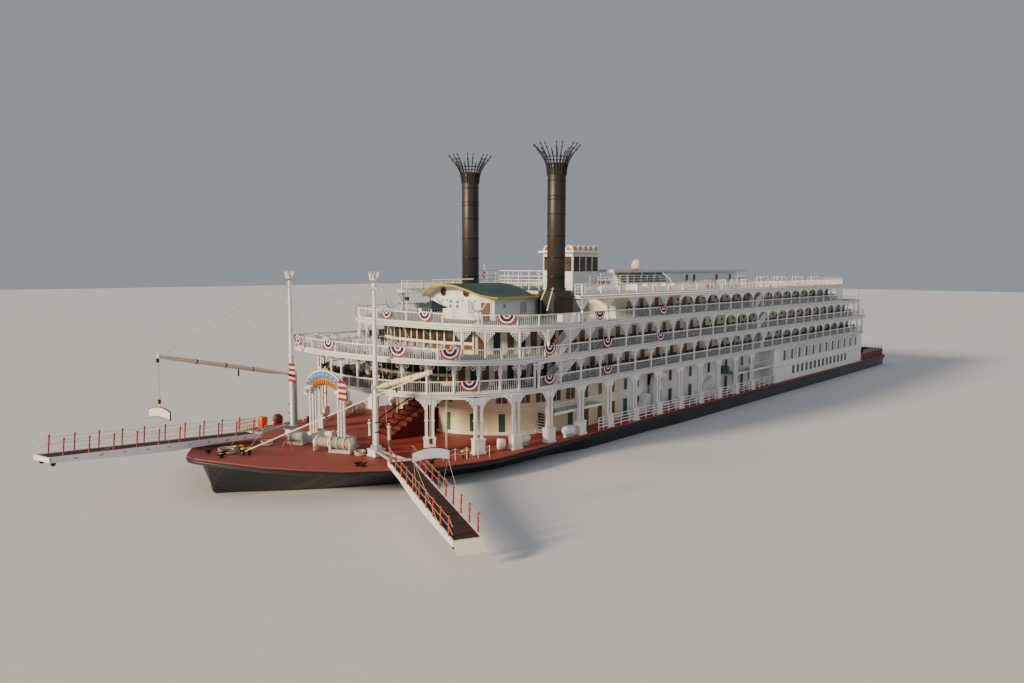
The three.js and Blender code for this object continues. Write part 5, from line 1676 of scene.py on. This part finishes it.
def arch_flags():
    """Two striped flags that hang in folds beside the arch."""
    for name, x, y, z, body_node in (("flag_port", 5.19, 0.300, 1.07, "bow_arch"),
                                     ("flag_starboard", 5.13, -0.545, 1.14, "mast_starboard")):
        piece = Piece(name, CLOTH_RED, CLOTH_WHITE)
        folds, width, height = 8, 0.085, 0.17
        for k in range(folds):
            a, b = k / folds - 0.5, (k + 1) / folds - 0.5
            oa, ob = 0.014 * (k % 2), 0.014 * ((k + 1) % 2)
            for row in range(7):
                za, zb = z - height * row / 7, z - height * (row + 1) / 7
                flare = 1 + 0.05 * row
                piece.mesh([(x + oa, y + a * width * flare, za),
                            (x + oa, y + a * width * (flare + 0.05), zb),
                            (x + ob, y + b * width * (flare + 0.05), zb),
                            (x + ob, y + b * width * flare, za)], [(0, 1, 2, 3)], row % 2)
        obj = piece.done("boat")


def gallery_4(side):
    """Deck 4's gallery: posts with a foot rail, a hand rail and a head beam; its round arches aft are drawn
    with the other gallery heads.
    """
    piece = Piece(f"gallery_4_{side}_posts", WHITE)
    s = 1 if side == "port" else -1
    low, high = DECK[4] + 0.0003, DECK[5] - SLAB - 0.0003
    places = GALLERY_POSTS[4]
    fore, aft = places[0], places[-1]
    y0, y1 = sorted((s * 1.288, s * 1.304))
    for x in places:
        piece.box(x - 0.008, x + 0.008, y0, y1, low, high)
    piece.box(aft, fore, y0, y1, low, low + 0.014)
    piece.box(aft, fore, y0, y1, low + RAIL_H - 0.010, low + RAIL_H)
    piece.box(aft, fore, y0, y1, high - 0.010, high)
    obj = piece.done("boat")
    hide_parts(f"gallery_4_{side}")


def main_deck_gear():
    """Duct, chute, awning, canisters and stair foot on the side of the main deck."""
    piece = Piece("main_deck_gear", WHITE, GREEN, ORANGE, GREY, CREAM_LIGHT)
    piece.both = True
    path = [(1.61, 1.15, MAIN_Z), (1.61, 1.15, MAIN_Z + 0.28), (1.595, 1.15, MAIN_Z + 0.35),
            (1.55, 1.15, MAIN_Z + 0.39), (1.48, 1.15, MAIN_Z + 0.405), (1.42, 1.15, MAIN_Z + 0.38)]
    piece.tube(path, (0.050, 0.050, 0.052, 0.052, 0.050, 0.048), 12)
    piece.side([(1.94, MAIN_Z + 0.01), (1.70, MAIN_Z + 0.01), (1.70, MAIN_Z + 0.20), (1.76, MAIN_Z + 0.22)],
               1.10, 1.17)
    piece.side([(0.55, MAIN_Z + 0.005), (0.20, MAIN_Z + 0.005), (0.22, MAIN_Z + 0.25),
                (0.38, MAIN_Z + 0.16)], 1.10, 1.15)
    piece.side([(-0.02, MAIN_Z + 0.34), (-0.18, MAIN_Z + 0.34), (-0.21, MAIN_Z + 0.25),
                (0.01, MAIN_Z + 0.25)], 1.09, 1.17, 1)
    for x in (3.89, 3.32):
        piece.place = move(x, 1.27 if x < 3.5 else 1.19, MAIN_Z + 0.065) @ spin(math.pi / 2, "Y")
        piece.turned([(0, -0.075), (0.030, -0.072), (0.044, -0.050), (0.044, 0.050), (0.030, 0.072),
                      (0, 0.075)], (0, 0, 0), 16)
        for z in (-0.035, 0.035):
            piece.turned([(0.044, z - 0.004), (0.0465, z), (0.044, z + 0.004)], (0, 0, 0), 16, 3)
        piece.place = Matrix.Identity(4)
        piece.box(x - 0.06, x + 0.06, (1.25 if x < 3.5 else 1.17), (1.29 if x < 3.5 else 1.21),
                  MAIN_Z + 0.001, MAIN_Z + 0.03, 3)
    piece.turned([(0, 0.0), (0.040, 0.002), (0.040, 0.085), (0, 0.088)],
                 (4.11, 1.13, MAIN_Z + 0.001), 14, 4)
    piece.both = False
    return piece.done("boat")


def stern_dress():
    """Rims, hub plates and bolts of the wheel."""
    piece = Piece("wheel_dress", IRON, RED)
    axis = move(-5.73, 0, 0.6) @ spin(math.pi / 2, "X")
    piece.place = axis
    for y in (-0.458, -0.15, 0.15, 0.458):
        for r in (0.375, 0.25):
            path = [(r * math.cos(math.pi * i / 28), r * math.sin(math.pi * i / 28), y) for i in range(57)]
            piece.tube(path, 0.006, 5, 0, False)
        piece.turned([(0.02, y - 0.008), (0.085, y - 0.008), (0.085, y + 0.008), (0.02, y + 0.008)],
                     (0, 0, 0), 20, 1, False)
        for i in range(14):
            a = 2 * math.pi * i / 14
            for r in (0.07, 0.36, 0.40):
                piece.block((r * math.cos(a), r * math.sin(a), y), (0.012, 0.012, 0.022))
            if abs(y) < 0.2:
                piece.tube([(0.05 * math.cos(a), 0.05 * math.sin(a), y),
                            (0.40 * math.cos(a), 0.40 * math.sin(a), y)], 0.008, 5, 1)
    return piece.done("paddle_wheel")


WALK = new_material("stage_walk", (0.040, 0.014, 0.013), 0.8)
AMBER = new_material("door_glass", (0.16, 0.065, 0.015), 0.2, spread=0.5, scale=9, bump=0.0)
GLASS_WARM = new_material("salon_glass", (0.055, 0.035, 0.02), 0.1, spread=0.8, scale=14, bump=0.0)
CHAIR = new_material("dark_chairs", (0.018, 0.022, 0.02), 0.5)
OLIVE = new_material("olive_panels", (0.42, 0.43, 0.33), 0.5, spread=0.05)
CLOTH_RED = new_material("red_cloth", (0.45, 0.015, 0.02), 0.9)
CLOTH_WHITE = new_material("white_cloth", (0.80, 0.79, 0.76), 0.9)
CLOTH_BLUE = new_material("navy_cloth", (0.015, 0.02, 0.075), 0.9)

for build in (side_balusters, front_balusters, edge_mouldings, gallery_heads, gallery_doors, wall_trim,
              gallery_chairs, salon_windows, bunting, column_dress, fences, guard, stern_windows,
              mezzanines, main_house_dress, side_stairs, grand_stair_rails, guys, stays, mast_dress,
              arch_dress, foredeck, texas_roof, texas_dress, deck_hut_dress, upper_gear, sun_deck,
              pilothouse_dress, stack_base_dress, windlass_dress, arch_flags, main_deck_gear, stern_dress,
              crowded_decks):
    build()
for side in SIDES:
    for build in (stage_dress, hanging_board, falls, topping_lift, stack_shell, gallery_4, boom_dress):
        build(side)
